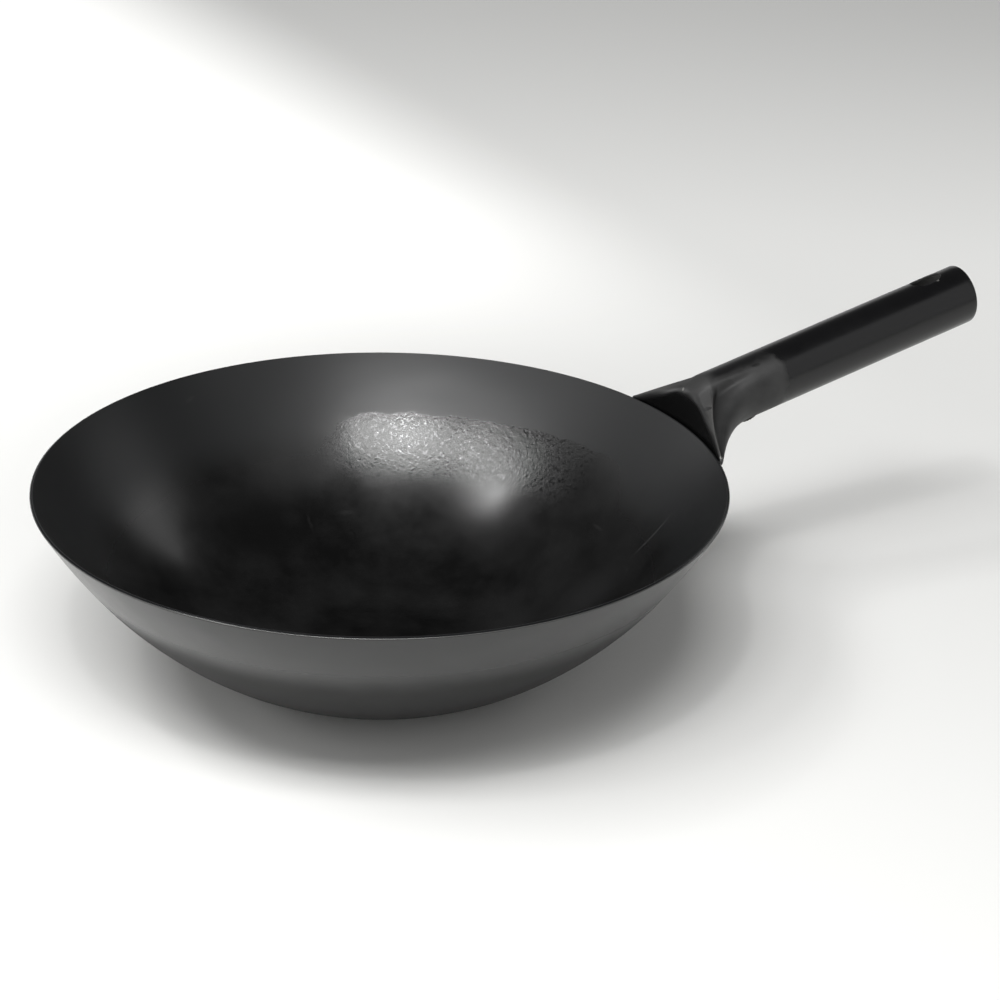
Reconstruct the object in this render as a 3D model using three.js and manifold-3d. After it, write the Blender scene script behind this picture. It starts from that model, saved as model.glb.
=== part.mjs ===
// One-handed wok of beaten sheet iron: a thin round bowl with a flattened foot, and a handle rolled from
// sheet, whose root is spread into a fishtail and welded to the bowl under the rim.
// Millimetres. The origin is the centre of the foot, +Z is up and +X runs along the handle.
import * as THREE from 'three';
import { mergeVertices } from 'three/addons/utils/BufferGeometryUtils.js';
import Module from 'manifold-3d';

const wasm = await Module();
wasm.setup();

// Bowl. The outer wall is a chain of tangent arcs: each ends at this radius, at this steepness from level.
const BOWL_SHEET = 1.6;
const WALL = [
  { radius: 38, steepness: 0 },
  { radius: 90, steepness: 31 },
  { radius: 115.5, steepness: 41 },
  { radius: 148.5, steepness: 55.2 },
  { radius: 165, steepness: 61.3 },
];
const RIM_RADIUS = WALL.at(-1).radius;
const BOWL_SIDES = 96;
const WALL_STEP = 5;
const RIM_EDGE_STEPS = 5;

// Handle tube. Its axis passes over the rim at this height and rises outwards from there. The rolled sheet
// is turned a little about that axis, slot and seam with it, and its sawn end is not quite square.
const TUBE_RADIUS = 15.6;
const HANDLE_SHEET = 1.2;
const HANDLE_LENGTH = 168.8;
const HANDLE_RISE = 15.2;
const HANDLE_TWIST = 8;
const AXIS_ABOVE_RIM = 7.8;
const END_SKEW = 1.5;
const END_SKEW_ANGLE = -18;
const SEAM_START = 27;
const SEAM_GAP = 0.5;

// Hanging slot through the top of the tube, measured along the handle from the rim.
const SLOT_START = 142.2;
const SLOT_END = 159.2;
const SLOT_WIDTH = 11;

// Fishtail root: angles run round the tube from its top, stations along the handle from the rim.
const CROWN_ANGLE = 40;
const RIDGE_ANGLE = 112;
const FOLD_ANGLE = 124;
const CROWN_STATION = 12.4;
const FLARE_TOP_STATION = 20;
const FLARE_SIDE_STATION = 33;
const TIP_RADIUS = 166.8;
const TIP_HALF_WIDTH = 45.5;
const TIP_RISE = 1.2;
const TIP_HEIGHT = 3.4;
const BROW_HEIGHT = 18;
const BROW_FALL = 1.4;
const BROW_ROUND = 0.4;
const BROW_STEPS = 2;
const APRON_STAND = 0.4;
const UNDERSIDE_DROP = 8.4;
const ARRIVE_SIDEWAYS = 0.4;
const BEND_CROWN = 0.25;
const BEND_RIDGE = 0.09;
const BEND_STEPS = 4;
const FLARE_STEPS = 7;

// How far the untrimmed root reaches into the bowl before it is cut to the wall.
const WALL_OVERRUN = 2.3;
const BOWL_OVERRUN = 12;

// Welds, and the clearance that separate pieces keep.
const GAP = 0.3;
const BEAD_RADIUS = 2.6;
const BEAD_FROM_TIP = 0.08;
const BEAD_TO_MIDDLE = 0.88;
const TACK_STATION = 31.5;
const TACK_LENGTH = 12;
const TACK_WIDTH = 8;
const TACK_DEPTH = 1.1;

const BLACK_IRON = new THREE.MeshStandardMaterial({ color: '#2b2c2d', roughness: 0.42, metalness: 0.85 });
const BLACK_STEEL = new THREE.MeshStandardMaterial({ color: '#202122', roughness: 0.46, metalness: 0.8 });
const WELD_METAL = new THREE.MeshStandardMaterial({ color: '#3a3a39', roughness: 0.55, metalness: 0.85 });

const radians = THREE.MathUtils.degToRad;

// Points of the wall, from foot to rim, at a distance outside its outer face; a negative one is inside.
function wallPoints(outside) {
  const points = [];
  const place = (radius, height, angle) => points.push(
    new THREE.Vector2(radius + outside * Math.sin(angle), height - outside * Math.cos(angle)));
  let height = 0;
  place(WALL[0].radius, height, 0);
  for (let i = 1; i < WALL.length; i += 1) {
    const from = radians(WALL[i - 1].steepness);
    const to = radians(WALL[i].steepness);
    const bend = (WALL[i].radius - WALL[i - 1].radius) / (Math.sin(to) - Math.sin(from));
    const steps = Math.ceil(THREE.MathUtils.radToDeg(to - from) / WALL_STEP);
    for (let k = 1; k <= steps; k += 1) {
      const angle = from + (to - from) * k / steps;
      const radius = WALL[i - 1].radius + bend * (Math.sin(angle) - Math.sin(from));
      place(radius, height + bend * (Math.cos(from) - Math.cos(angle)), angle);
    }
    height += bend * (Math.cos(from) - Math.cos(to));
  }
  return points;
}

const RIM_HEIGHT = wallPoints(0).at(-1).y;

// Radius of the bowl's outer face at a height below the rim.
function wallRadius(belowRim) {
  return RIM_RADIUS - belowRim / Math.tan(radians(WALL.at(-1).steepness));
}

// A profile turned about the Z axis.
function turned(profile) {
  const geometry = new THREE.LatheGeometry(profile, BOWL_SIDES);
  geometry.rotateX(Math.PI / 2);
  return geometry;
}

// Solid of a closed geometry, with shared corners merged and empty triangles dropped.
function solidOf(geometry) {
  const bare = geometry.clone();
  bare.deleteAttribute('normal');
  bare.deleteAttribute('uv');
  const merged = mergeVertices(bare, 1e-4);
  const corners = merged.index.array;
  const triVerts = [];
  for (let i = 0; i < corners.length; i += 3) {
    const [a, b, c] = corners.slice(i, i + 3);
    if (a !== b && b !== c && c !== a) {
      triVerts.push(a, b, c);
    }
  }
  const mesh = new wasm.Mesh({
    numProp: 3,
    vertProperties: new Float32Array(merged.attributes.position.array),
    triVerts: new Uint32Array(triVerts),
  });
  return new wasm.Manifold(mesh);
}

function geometryOf(solid) {
  const mesh = solid.getMesh();
  const geometry = new THREE.BufferGeometry();
  geometry.setAttribute('position', new THREE.BufferAttribute(mesh.vertProperties, 3));
  geometry.setIndex(new THREE.BufferAttribute(mesh.triVerts, 1));
  geometry.computeVertexNormals();
  return geometry;
}

// Bowl: one sheet from the foot's centre out to a half-round rim edge and back along the inside.
function bowlProfile() {
  const outer = wallPoints(0);
  const inner = wallPoints(-BOWL_SHEET).reverse();
  const edgeCentre = outer.at(-1).clone().lerp(inner[0], 0.5);
  const spoke = outer.at(-1).clone().sub(edgeCentre);
  const edge = [];
  for (let i = 1; i < RIM_EDGE_STEPS; i += 1) {
    edge.push(spoke.clone().rotateAround(new THREE.Vector2(), Math.PI * i / RIM_EDGE_STEPS).add(edgeCentre));
  }
  return [new THREE.Vector2(0, 0), ...outer, ...edge, ...inner, new THREE.Vector2(0, BOWL_SHEET)];
}

// Everything that the handle and welds stay out of: the bowl filled solid, and the space above its rim.
function bowlKeepOut() {
  const wall = wallPoints(GAP);
  const top = RIM_HEIGHT + 2 * BROW_HEIGHT;
  const edge = RIM_RADIUS + GAP;
  return solidOf(turned([
    new THREE.Vector2(0, wall[0].y),
    ...wall.filter((point) => point.x < edge),
    new THREE.Vector2(edge, RIM_HEIGHT),
    new THREE.Vector2(edge, top),
    new THREE.Vector2(0, top),
  ]));
}

const handleFrame = new THREE.Matrix4()
  .makeTranslation(RIM_RADIUS, 0, RIM_HEIGHT + AXIS_ABOVE_RIM)
  .multiply(new THREE.Matrix4().makeRotationY(-radians(HANDLE_RISE)));
const outwards = new THREE.Vector3(1, 0, 0).transformDirection(handleFrame);

// Point on the tube at a station along it and an angle round it from the top.
function tubePoint(station, angle) {
  const turn = radians(angle);
  return new THREE.Vector3(station, TUBE_RADIUS * Math.sin(turn), TUBE_RADIUS * Math.cos(turn))
    .applyMatrix4(handleFrame);
}

// Point on the rim's level, or above it, at a radius from the bowl's axis and a distance to one side.
function besideRim(radius, across, aboveRim) {
  const along = Math.sqrt(radius * radius - across * across);
  return new THREE.Vector3(along, across, RIM_HEIGHT + aboveRim);
}

// Underside of the fishtail, from the tip (share 0) to the middle (share 1), a distance outside the wall.
function undersidePoint(share, outside) {
  const tipBelow = TIP_HEIGHT - TIP_RISE;
  const below = tipBelow + (UNDERSIDE_DROP - tipBelow) * Math.sin(share * Math.PI / 2);
  const tipOutside = TIP_RADIUS - wallRadius(tipBelow);
  const stand = outside >= 0 ? THREE.MathUtils.lerp(tipOutside, outside, Math.min(1, 3 * share)) : outside;
  return besideRim(wallRadius(below) + stand, TIP_HALF_WIDTH * (1 - share), -below);
}

// The fold of the root: over the crown, straight down the ridge to the tip, round it and back underneath.
function foldPoint(angle) {
  const tip = besideRim(TIP_RADIUS, TIP_HALF_WIDTH, TIP_RISE);
  if (angle <= CROWN_ANGLE) {
    return tubePoint(CROWN_STATION, angle);
  }
  if (angle <= RIDGE_ANGLE) {
    return tubePoint(CROWN_STATION, CROWN_ANGLE).lerp(tip, (angle - CROWN_ANGLE) / (RIDGE_ANGLE - CROWN_ANGLE));
  }
  if (angle <= FOLD_ANGLE) {
    const share = (angle - RIDGE_ANGLE) / (FOLD_ANGLE - RIDGE_ANGLE);
    const round = tip.lerp(undersidePoint(0, GAP), share);
    return round.add(new THREE.Vector3(0, TIP_HEIGHT / 3 * Math.sin(Math.PI * share), 0));
  }
  return undersidePoint((angle - FOLD_ANGLE) / (180 - FOLD_ANGLE), 2);
}

// The root's end at the bowl, as three points. Above, the sheet turns down at an arched brow into an upright
// apron, which closes the root and ends at the rim's level. Underneath, it runs in behind the wall.
function rootEnd(angle) {
  if (angle <= RIDGE_ANGLE) {
    const across = Math.min(foldPoint(angle).y, TIP_HALF_WIDTH);
    const share = across / TIP_HALF_WIDTH;
    const height = TIP_RISE + (BROW_HEIGHT - TIP_RISE) * Math.pow(1 - share * share, BROW_FALL);
    return [
      besideRim(RIM_RADIUS - WALL_OVERRUN, across, 0),
      besideRim(RIM_RADIUS + APRON_STAND, across, 0),
      besideRim(RIM_RADIUS + APRON_STAND, across, height),
    ];
  }
  if (angle < FOLD_ANGLE) {
    const share = (angle - RIDGE_ANGLE) / (FOLD_ANGLE - RIDGE_ANGLE);
    const under = rootEnd(FOLD_ANGLE);
    return rootEnd(RIDGE_ANGLE).map((point, i) => point.lerp(under[i], share));
  }
  const along = (angle - FOLD_ANGLE) / (180 - FOLD_ANGLE);
  return [-WALL_OVERRUN, -WALL_OVERRUN / 2, 0].map((outside) => undersidePoint(along, outside));
}

// Station where the tube starts to spread: late on top, early at the sides and underneath.
function flareStation(angle) {
  const share = THREE.MathUtils.smoothstep(angle, 0, 90);
  return THREE.MathUtils.lerp(FLARE_TOP_STATION, FLARE_SIDE_STATION, share);
}

// Smooth run from the tube to the fold: it leaves along the tube and turns out sideways.
function flarePoint(angle, share) {
  const start = tubePoint(flareStation(angle), angle);
  const end = foldPoint(angle);
  const chord = end.clone().sub(start);
  const leave = outwards.clone().multiplyScalar(-chord.length());
  const arrive = chord.clone().addScaledVector(outwards, -ARRIVE_SIDEWAYS * chord.dot(outwards));
  const t2 = share * share;
  const t3 = t2 * share;
  return start.multiplyScalar(2 * t3 - 3 * t2 + 1)
    .addScaledVector(leave, t3 - 2 * t2 + share)
    .addScaledVector(end, 3 * t2 - 2 * t3)
    .addScaledVector(arrive, t3 - t2);
}

// One lengthwise line of the handle's sheet, from inside the bowl to the open end. The angle round the
// tube is positive towards +Y, and the root's lines on the two sides mirror each other.
function sheetLine(angle) {
  const turn = Math.abs(angle);
  const mirror = new THREE.Vector3(1, Math.sign(angle) || 1, 1);
  const fold = foldPoint(turn);
  const [behind, foot, brow] = rootEnd(turn);
  const tightness = THREE.MathUtils.smoothstep(turn, 0, CROWN_ANGLE);
  const bend = THREE.MathUtils.lerp(BEND_CROWN, BEND_RIDGE, tightness);
  const before = flarePoint(turn, 1 - bend);
  const after = fold.clone().lerp(brow, 2 * bend);
  const under = brow.clone().lerp(foot, BROW_ROUND);
  const over = brow.clone().lerp(after, BROW_ROUND);
  const line = [behind.clone().setX(behind.x - BOWL_OVERRUN), behind, foot];
  line.push(...new THREE.QuadraticBezierCurve3(under, brow, over).getPoints(BROW_STEPS));
  line.push(...new THREE.QuadraticBezierCurve3(after, fold, before).getPoints(BEND_STEPS));
  for (let i = FLARE_STEPS - 1; i >= 0; i -= 1) {
    line.push(flarePoint(turn, (1 - bend) * i / FLARE_STEPS));
  }
  line.forEach((point) => point.multiply(mirror));
  const skew = END_SKEW * Math.cos(radians(angle - END_SKEW_ANGLE));
  line.push(tubePoint(HANDLE_LENGTH + skew, angle));
  return line;
}

function spread(from, to, steps) {
  return Array.from({ length: steps }, (_, i) => from + (to - from) * i / steps);
}

// Angles round half of the sheet, close together where it folds.
const HALF_ANGLES = [
  ...spread(0, CROWN_ANGLE, 5),
  ...spread(CROWN_ANGLE, RIDGE_ANGLE, 9),
  ...spread(RIDGE_ANGLE, FOLD_ANGLE, 4),
  ...spread(FOLD_ANGLE, 180, 8),
];

// The handle as one filled body whose skin lies a distance outside the sheet's outer face.
function handleBody(outside, overrun) {
  const back = HALF_ANGLES.slice(1).reverse().map((angle) => -angle);
  const lines = [...HALF_ANGLES, 180, ...back].map(sheetLine);
  const rows = lines[0].length;
  const points = lines.flat();
  const at = (line, row) => (line % lines.length) * rows + row;
  const skin = [];
  for (let line = 0; line < lines.length; line += 1) {
    for (let row = 0; row < rows - 1; row += 1) {
      const [a, b] = [at(line, row), at(line + 1, row)];
      const [c, d] = [at(line + 1, row + 1), at(line, row + 1)];
      skin.push(a, c, b, a, d, c);
    }
  }
  const geometry = new THREE.BufferGeometry().setFromPoints(points);
  geometry.setIndex(skin);
  geometry.computeVertexNormals();
  const normal = new THREE.Vector3();
  const moved = points.map((point, i) => point.clone().addScaledVector(
    normal.fromBufferAttribute(geometry.attributes.normal, i), outside));
  const caps = [];
  for (const [row, way] of [[0, -1], [rows - 1, 1]]) {
    const ring = lines.map((_, line) => moved[at(line, row)].addScaledVector(outwards, way * overrun));
    const centre = ring.reduce((sum, point) => sum.add(point), new THREE.Vector3()).divideScalar(ring.length);
    const hub = moved.push(centre) - 1;
    for (let line = 0; line < lines.length; line += 1) {
      const pair = [at(line, row), at(line + 1, row)];
      caps.push(hub, ...(way < 0 ? pair : pair.reverse()));
    }
  }
  const closed = new THREE.BufferGeometry().setFromPoints(moved);
  closed.setIndex([...skin, ...caps]);
  return solidOf(closed);
}

// Round-ended slot cutter, standing across the tube's top wall.
function slotCutter() {
  const radius = SLOT_WIDTH / 2;
  const outline = new THREE.Shape();
  outline.absarc(SLOT_START + radius, 0, radius, Math.PI / 2, 3 * Math.PI / 2);
  outline.absarc(SLOT_END - radius, 0, radius, -Math.PI / 2, Math.PI / 2);
  const depth = 1.5 * TUBE_RADIUS;
  const cutter = new THREE.ExtrudeGeometry(outline, { depth, bevelEnabled: false, curveSegments: 10 });
  cutter.rotateX(-radians(HANDLE_TWIST));
  cutter.applyMatrix4(handleFrame);
  return solidOf(cutter);
}

// Blade that parts the rolled sheet's two edges along the bottom of the handle.
function seamCutter() {
  const blade = new THREE.BoxGeometry(HANDLE_LENGTH, SEAM_GAP, TUBE_RADIUS);
  blade.translate(SEAM_START + HANDLE_LENGTH / 2, 0, -TUBE_RADIUS);
  blade.rotateX(-radians(HANDLE_TWIST));
  blade.applyMatrix4(handleFrame);
  return solidOf(blade);
}

// Fillet weld along the underside of the fishtail, on one side of the seam.
function rootWeld(side, keepOut) {
  const path = spread(BEAD_FROM_TIP, BEAD_TO_MIDDLE, 6).map((share) => {
    const point = undersidePoint(share, BEAD_RADIUS / 2);
    return point.set(point.x, side * point.y, point.z - BEAD_RADIUS / 2);
  });
  const section = new THREE.Shape().absarc(0, 0, BEAD_RADIUS, 0, 2 * Math.PI);
  const bead = new THREE.ExtrudeGeometry(section, {
    steps: 10,
    curveSegments: 8,
    extrudePath: new THREE.CatmullRomCurve3(path),
  });
  return solidOf(bead).subtract(keepOut);
}

// Tack weld that bridges the seam where the tube begins to spread.
function seamTack(keepOut) {
  const blob = new THREE.SphereGeometry(1, 14, 10);
  blob.scale(TACK_LENGTH / 2, TACK_WIDTH / 2, TACK_DEPTH);
  blob.translate(TACK_STATION, 0, -TUBE_RADIUS);
  blob.rotateX(-radians(HANDLE_TWIST));
  blob.applyMatrix4(handleFrame);
  return solidOf(blob).subtract(keepOut);
}

const bowlSpace = bowlKeepOut();
const handle = handleBody(0, 0)
  .subtract(handleBody(-HANDLE_SHEET, 2))
  .subtract(bowlSpace)
  .subtract(slotCutter())
  .subtract(seamCutter());
const weldSpace = handleBody(GAP, 0).add(bowlSpace);

const wok = new THREE.Group();

function addPiece(name, geometry, material) {
  const mesh = new THREE.Mesh(geometry, material);
  mesh.name = name;
  wok.add(mesh);
}

addPiece('wok_bowl', geometryOf(solidOf(turned(bowlProfile()))), BLACK_IRON);
addPiece('handle', geometryOf(handle), BLACK_STEEL);
addPiece('root_weld_right', geometryOf(rootWeld(1, weldSpace)), WELD_METAL);
addPiece('root_weld_left', geometryOf(rootWeld(-1, weldSpace)), WELD_METAL);
addPiece('seam_tack', geometryOf(seamTack(weldSpace)), WELD_METAL);

export default wok;
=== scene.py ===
"""One-handed wok of beaten sheet iron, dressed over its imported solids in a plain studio.

Sizes in the classes are millimetres and degrees, as a maker writes them down. Finished meshes are in
metres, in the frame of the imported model: the origin is the centre of the foot, +Z is up and +X runs along
the handle.
"""
import logging
import math
from dataclasses import dataclass
from enum import Enum
from functools import cached_property, partial
from itertools import pairwise, product
from typing import Any, Iterable

import bmesh
import bpy
import numpy as np
from bpy.types import Material, Node, NodeSocket, NodeTree, Object
from mathutils import Matrix, Quaternion, Vector, noise


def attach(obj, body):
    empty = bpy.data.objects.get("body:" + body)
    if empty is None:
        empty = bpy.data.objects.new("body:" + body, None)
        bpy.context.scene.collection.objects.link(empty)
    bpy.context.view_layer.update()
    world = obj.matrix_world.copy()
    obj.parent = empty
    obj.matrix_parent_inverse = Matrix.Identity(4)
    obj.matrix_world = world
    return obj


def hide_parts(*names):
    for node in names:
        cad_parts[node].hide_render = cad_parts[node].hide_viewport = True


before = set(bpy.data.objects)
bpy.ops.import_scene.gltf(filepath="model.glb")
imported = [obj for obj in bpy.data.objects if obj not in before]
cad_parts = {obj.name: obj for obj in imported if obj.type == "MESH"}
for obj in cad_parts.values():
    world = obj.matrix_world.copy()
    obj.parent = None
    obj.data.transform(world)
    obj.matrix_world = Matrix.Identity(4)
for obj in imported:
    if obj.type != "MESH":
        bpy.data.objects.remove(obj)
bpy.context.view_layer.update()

LOG = logging.getLogger("wok")
MM = 0.001
BODY = "root"
# Height of a mark that is drawn in plan: more than that of any face, so that the mark goes right through.
THROUGH = 1000.0


class Slot(Enum):
    """Material slots of the record that the pieces take their finish from."""

    BOWL = "beaten_iron"
    HANDLE = "rolled_steel"
    WELD = "weld_metal"


class Side(Enum):
    """Sides of the handle, as someone holding it sees them."""

    RIGHT = 1
    LEFT = -1


def linear(colour: str) -> tuple[float, float, float, float]:
    """Turn an sRGB hex colour into linear light.

    Args:
        colour: The colour as "#rrggbb".

    Returns:
        Linear red, green and blue, and an alpha of 1.
    """
    channels = [int(colour[i:i + 2], 16) / 255 for i in (1, 3, 5)]
    lit = [c / 12.92 if c <= 0.04045 else ((c + 0.055) / 1.055) ** 2.4 for c in channels]
    return (*lit, 1.0)


def per_metre(size: float) -> float:
    """Texture scale at which one cell of a pattern measures this many millimetres."""
    return 1 / (size * MM)


def smoothstep(value: float, low: float, high: float) -> float:
    """Ease from 0 at the low value to 1 at the high one."""
    share = min(max((value - low) / (high - low), 0.0), 1.0)
    return share * share * (3 - 2 * share)


def blend(low: float, high: float, share: float) -> float:
    """Value at a share of the way from the low one to the high one."""
    return low + (high - low) * share


def add_node(tree: NodeTree, kind: str, inputs: dict[str | int, Any] | None = None,
             **settings: Any) -> Node:
    """Add a node to a tree, with its settings and its inputs.

    Args:
        tree: The tree that gets the node.
        kind: Blender's name for the kind of node.
        inputs: Value, or socket to link from, for each input by name or place.
        settings: Properties of the node itself.

    Returns:
        The new node.
    """
    node = tree.nodes.new(kind)
    for name, value in settings.items():
        setattr(node, name, value)
    for key, value in (inputs or {}).items():
        if isinstance(value, NodeSocket):
            tree.links.new(value, node.inputs[key])
        else:
            node.inputs[key].default_value = value
    return node


def new_material(name: str) -> tuple[Material, Node]:
    """Start a material.

    Args:
        name: Name of the real material and how its surface was made.

    Returns:
        The material and its surface shader.
    """
    material = bpy.data.materials.new(name)
    material.use_nodes = True
    return material, material.node_tree.nodes["Principled BSDF"]


def new_piece(name: str, points: Iterable[Vector], faces: list[tuple[int, ...]],
              edges: list[tuple[int, int]] | None = None) -> Object:
    """Make an object from points in millimetres.

    Args:
        name: Name of the piece.
        points: Its corners.
        faces: Corners of each face, turning left seen from outside.
        edges: Loose edges, for a path.

    Returns:
        The object, smooth shaded, at the origin.
    """
    mesh = bpy.data.meshes.new(name)
    mesh.from_pydata([tuple(MM * c for c in point) for point in points], edges or [], faces)
    mesh.shade_smooth()
    piece = bpy.data.objects.new(name, mesh)
    bpy.context.scene.collection.objects.link(piece)
    return piece


def drop_loose(piece: Object) -> None:
    """Delete the points that no face uses.

    Args:
        piece: The piece to clean.
    """
    mesh = bmesh.new()
    mesh.from_mesh(piece.data)
    loose = [point for point in mesh.verts if not point.link_faces]
    bmesh.ops.delete(mesh, geom=loose, context="VERTS")
    mesh.to_mesh(piece.data)
    mesh.free()


def mark_points(piece: Object, name: str, values: Iterable[float]) -> None:
    """Keep one number for each point of a piece, for its finish to read."""
    mark = piece.data.attributes.new(name, "FLOAT", "POINT")
    mark.data.foreach_set("value", np.asarray(list(values), dtype=np.float32))


def new_tree(name: str, inputs: dict[str, str]) -> tuple[NodeTree, Node, dict[str, str]]:
    """Start a Geometry Nodes tree.

    Args:
        name: Name of the tree.
        inputs: Socket type of each named input.

    Returns:
        The tree, its input node, and the identifier of each named input.
    """
    tree = bpy.data.node_groups.new(name, "GeometryNodeTree")
    tree.interface.new_socket("Geometry", in_out="INPUT", socket_type="NodeSocketGeometry")
    names = {}
    for label, kind in inputs.items():
        names[label] = tree.interface.new_socket(label, in_out="INPUT", socket_type=kind).identifier
    tree.interface.new_socket("Geometry", in_out="OUTPUT", socket_type="NodeSocketGeometry")
    return tree, tree.nodes.new("NodeGroupInput"), names


def run_tree(piece: Object, tree: NodeTree, names: dict[str, str], values: dict[str, Any]) -> None:
    """Run a Geometry Nodes tree on a piece and keep the result as its plain mesh.

    Args:
        piece: The object to work on.
        tree: The tree.
        names: Identifier of each named input.
        values: Value of each named input.
    """
    modifier = piece.modifiers.new(tree.name, "NODES")
    modifier.node_group = tree
    for label, value in values.items():
        modifier[names[label]] = value
    evaluated = piece.evaluated_get(bpy.context.evaluated_depsgraph_get())
    result = bpy.data.meshes.new_from_object(evaluated)
    piece.modifiers.remove(modifier)
    piece.data = result


def seat(piece: Object, node: str) -> None:
    """Let a piece ride on the wok's one body in the place of its solid, and report it.

    Args:
        piece: The finished piece.
        node: The solid that it stands for.
    """
    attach(piece, BODY)
    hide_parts(node)
    LOG.info("%s: %d faces, %s", piece.name, len(piece.data.polygons), piece.data.materials[0].name)


def ellipsoid_mask(tree: NodeTree, place: NodeSocket, centre: Vector, turn: float,
                   reach: tuple[float, float, float], fade: tuple[float, float]) -> NodeSocket:
    """Add the nodes that tell an ellipsoid from what is round it.

    Args:
        tree: The finish's tree.
        place: The place on the piece.
        centre: Middle of the ellipsoid.
        turn: Its turn about the upright, in radians.
        reach: Half of its length, width and height.
        fade: Where the mask starts to fade and where it has faded, as shares of the reach.

    Returns:
        A value of 1 inside and 0 outside.
    """
    inside = add_node(tree, "ShaderNodeMapping", {
        "Vector": place, "Location": centre * MM, "Rotation": (0, 0, turn),
        "Scale": [MM * size for size in reach]}, vector_type="TEXTURE").outputs[0]
    away = add_node(tree, "ShaderNodeVectorMath", {0: inside}, operation="LENGTH").outputs["Value"]
    return add_node(tree, "ShaderNodeMapRange", {
        "Value": away, "From Min": fade[0], "From Max": fade[1], "To Min": 1.0, "To Max": 0.0},
        interpolation_type="SMOOTHSTEP").outputs[0]


@dataclass(frozen=True)
class Mark:
    """A stain or scratch on a face of the bowl: in plan, an ellipse that is turned from the radius."""

    radius: float
    angle: float
    length: float
    width: float
    turn: float = 0.0

    def mask(self, tree: NodeTree, flat: NodeSocket, soft: float) -> NodeSocket:
        """Add the nodes that tell the mark from the rest of the face.

        Args:
            tree: The finish's tree.
            flat: The place on the face, in plan.
            soft: Softness of the mark's edge, as a share of its size.

        Returns:
            A value of 1 on the mark and 0 beside it.
        """
        turn = math.radians(self.angle)
        centre = Vector((math.cos(turn), math.sin(turn), 0)) * self.radius
        reach = (self.length / 2, self.width / 2, THROUGH)
        fade = (1 - soft, 1 + soft)
        return ellipsoid_mask(tree, flat, centre, turn + math.radians(self.turn), reach, fade)


@dataclass(frozen=True)
class Spot:
    """A small mark on the handle: all of its surface within an ellipsoid, turned about the upright."""

    centre: Vector
    reach: tuple[float, float, float]
    turn: float = 0.0
    fade: tuple[float, float] = (0.7, 1.0)

    def mask(self, tree: NodeTree, place: NodeSocket) -> NodeSocket:
        """Add the nodes that tell the mark from the rest: 1 on it, 0 beside it."""
        return ellipsoid_mask(tree, place, self.centre, math.radians(self.turn), self.reach, self.fade)


@dataclass(frozen=True)
class Grain:
    """A cloudy pattern: the size of its cells, the finer layers over them, their strength and their swirl."""

    size: float
    detail: float = 0.0
    roughness: float = 0.5
    distortion: float = 0.0

    def inputs(self, place: NodeSocket) -> dict[str, Any]:
        """Inputs of the noise that draws the pattern at a place."""
        return {"Vector": place, "Scale": per_metre(self.size), "Detail": self.detail,
                "Roughness": self.roughness, "Distortion": self.distortion}


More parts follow.
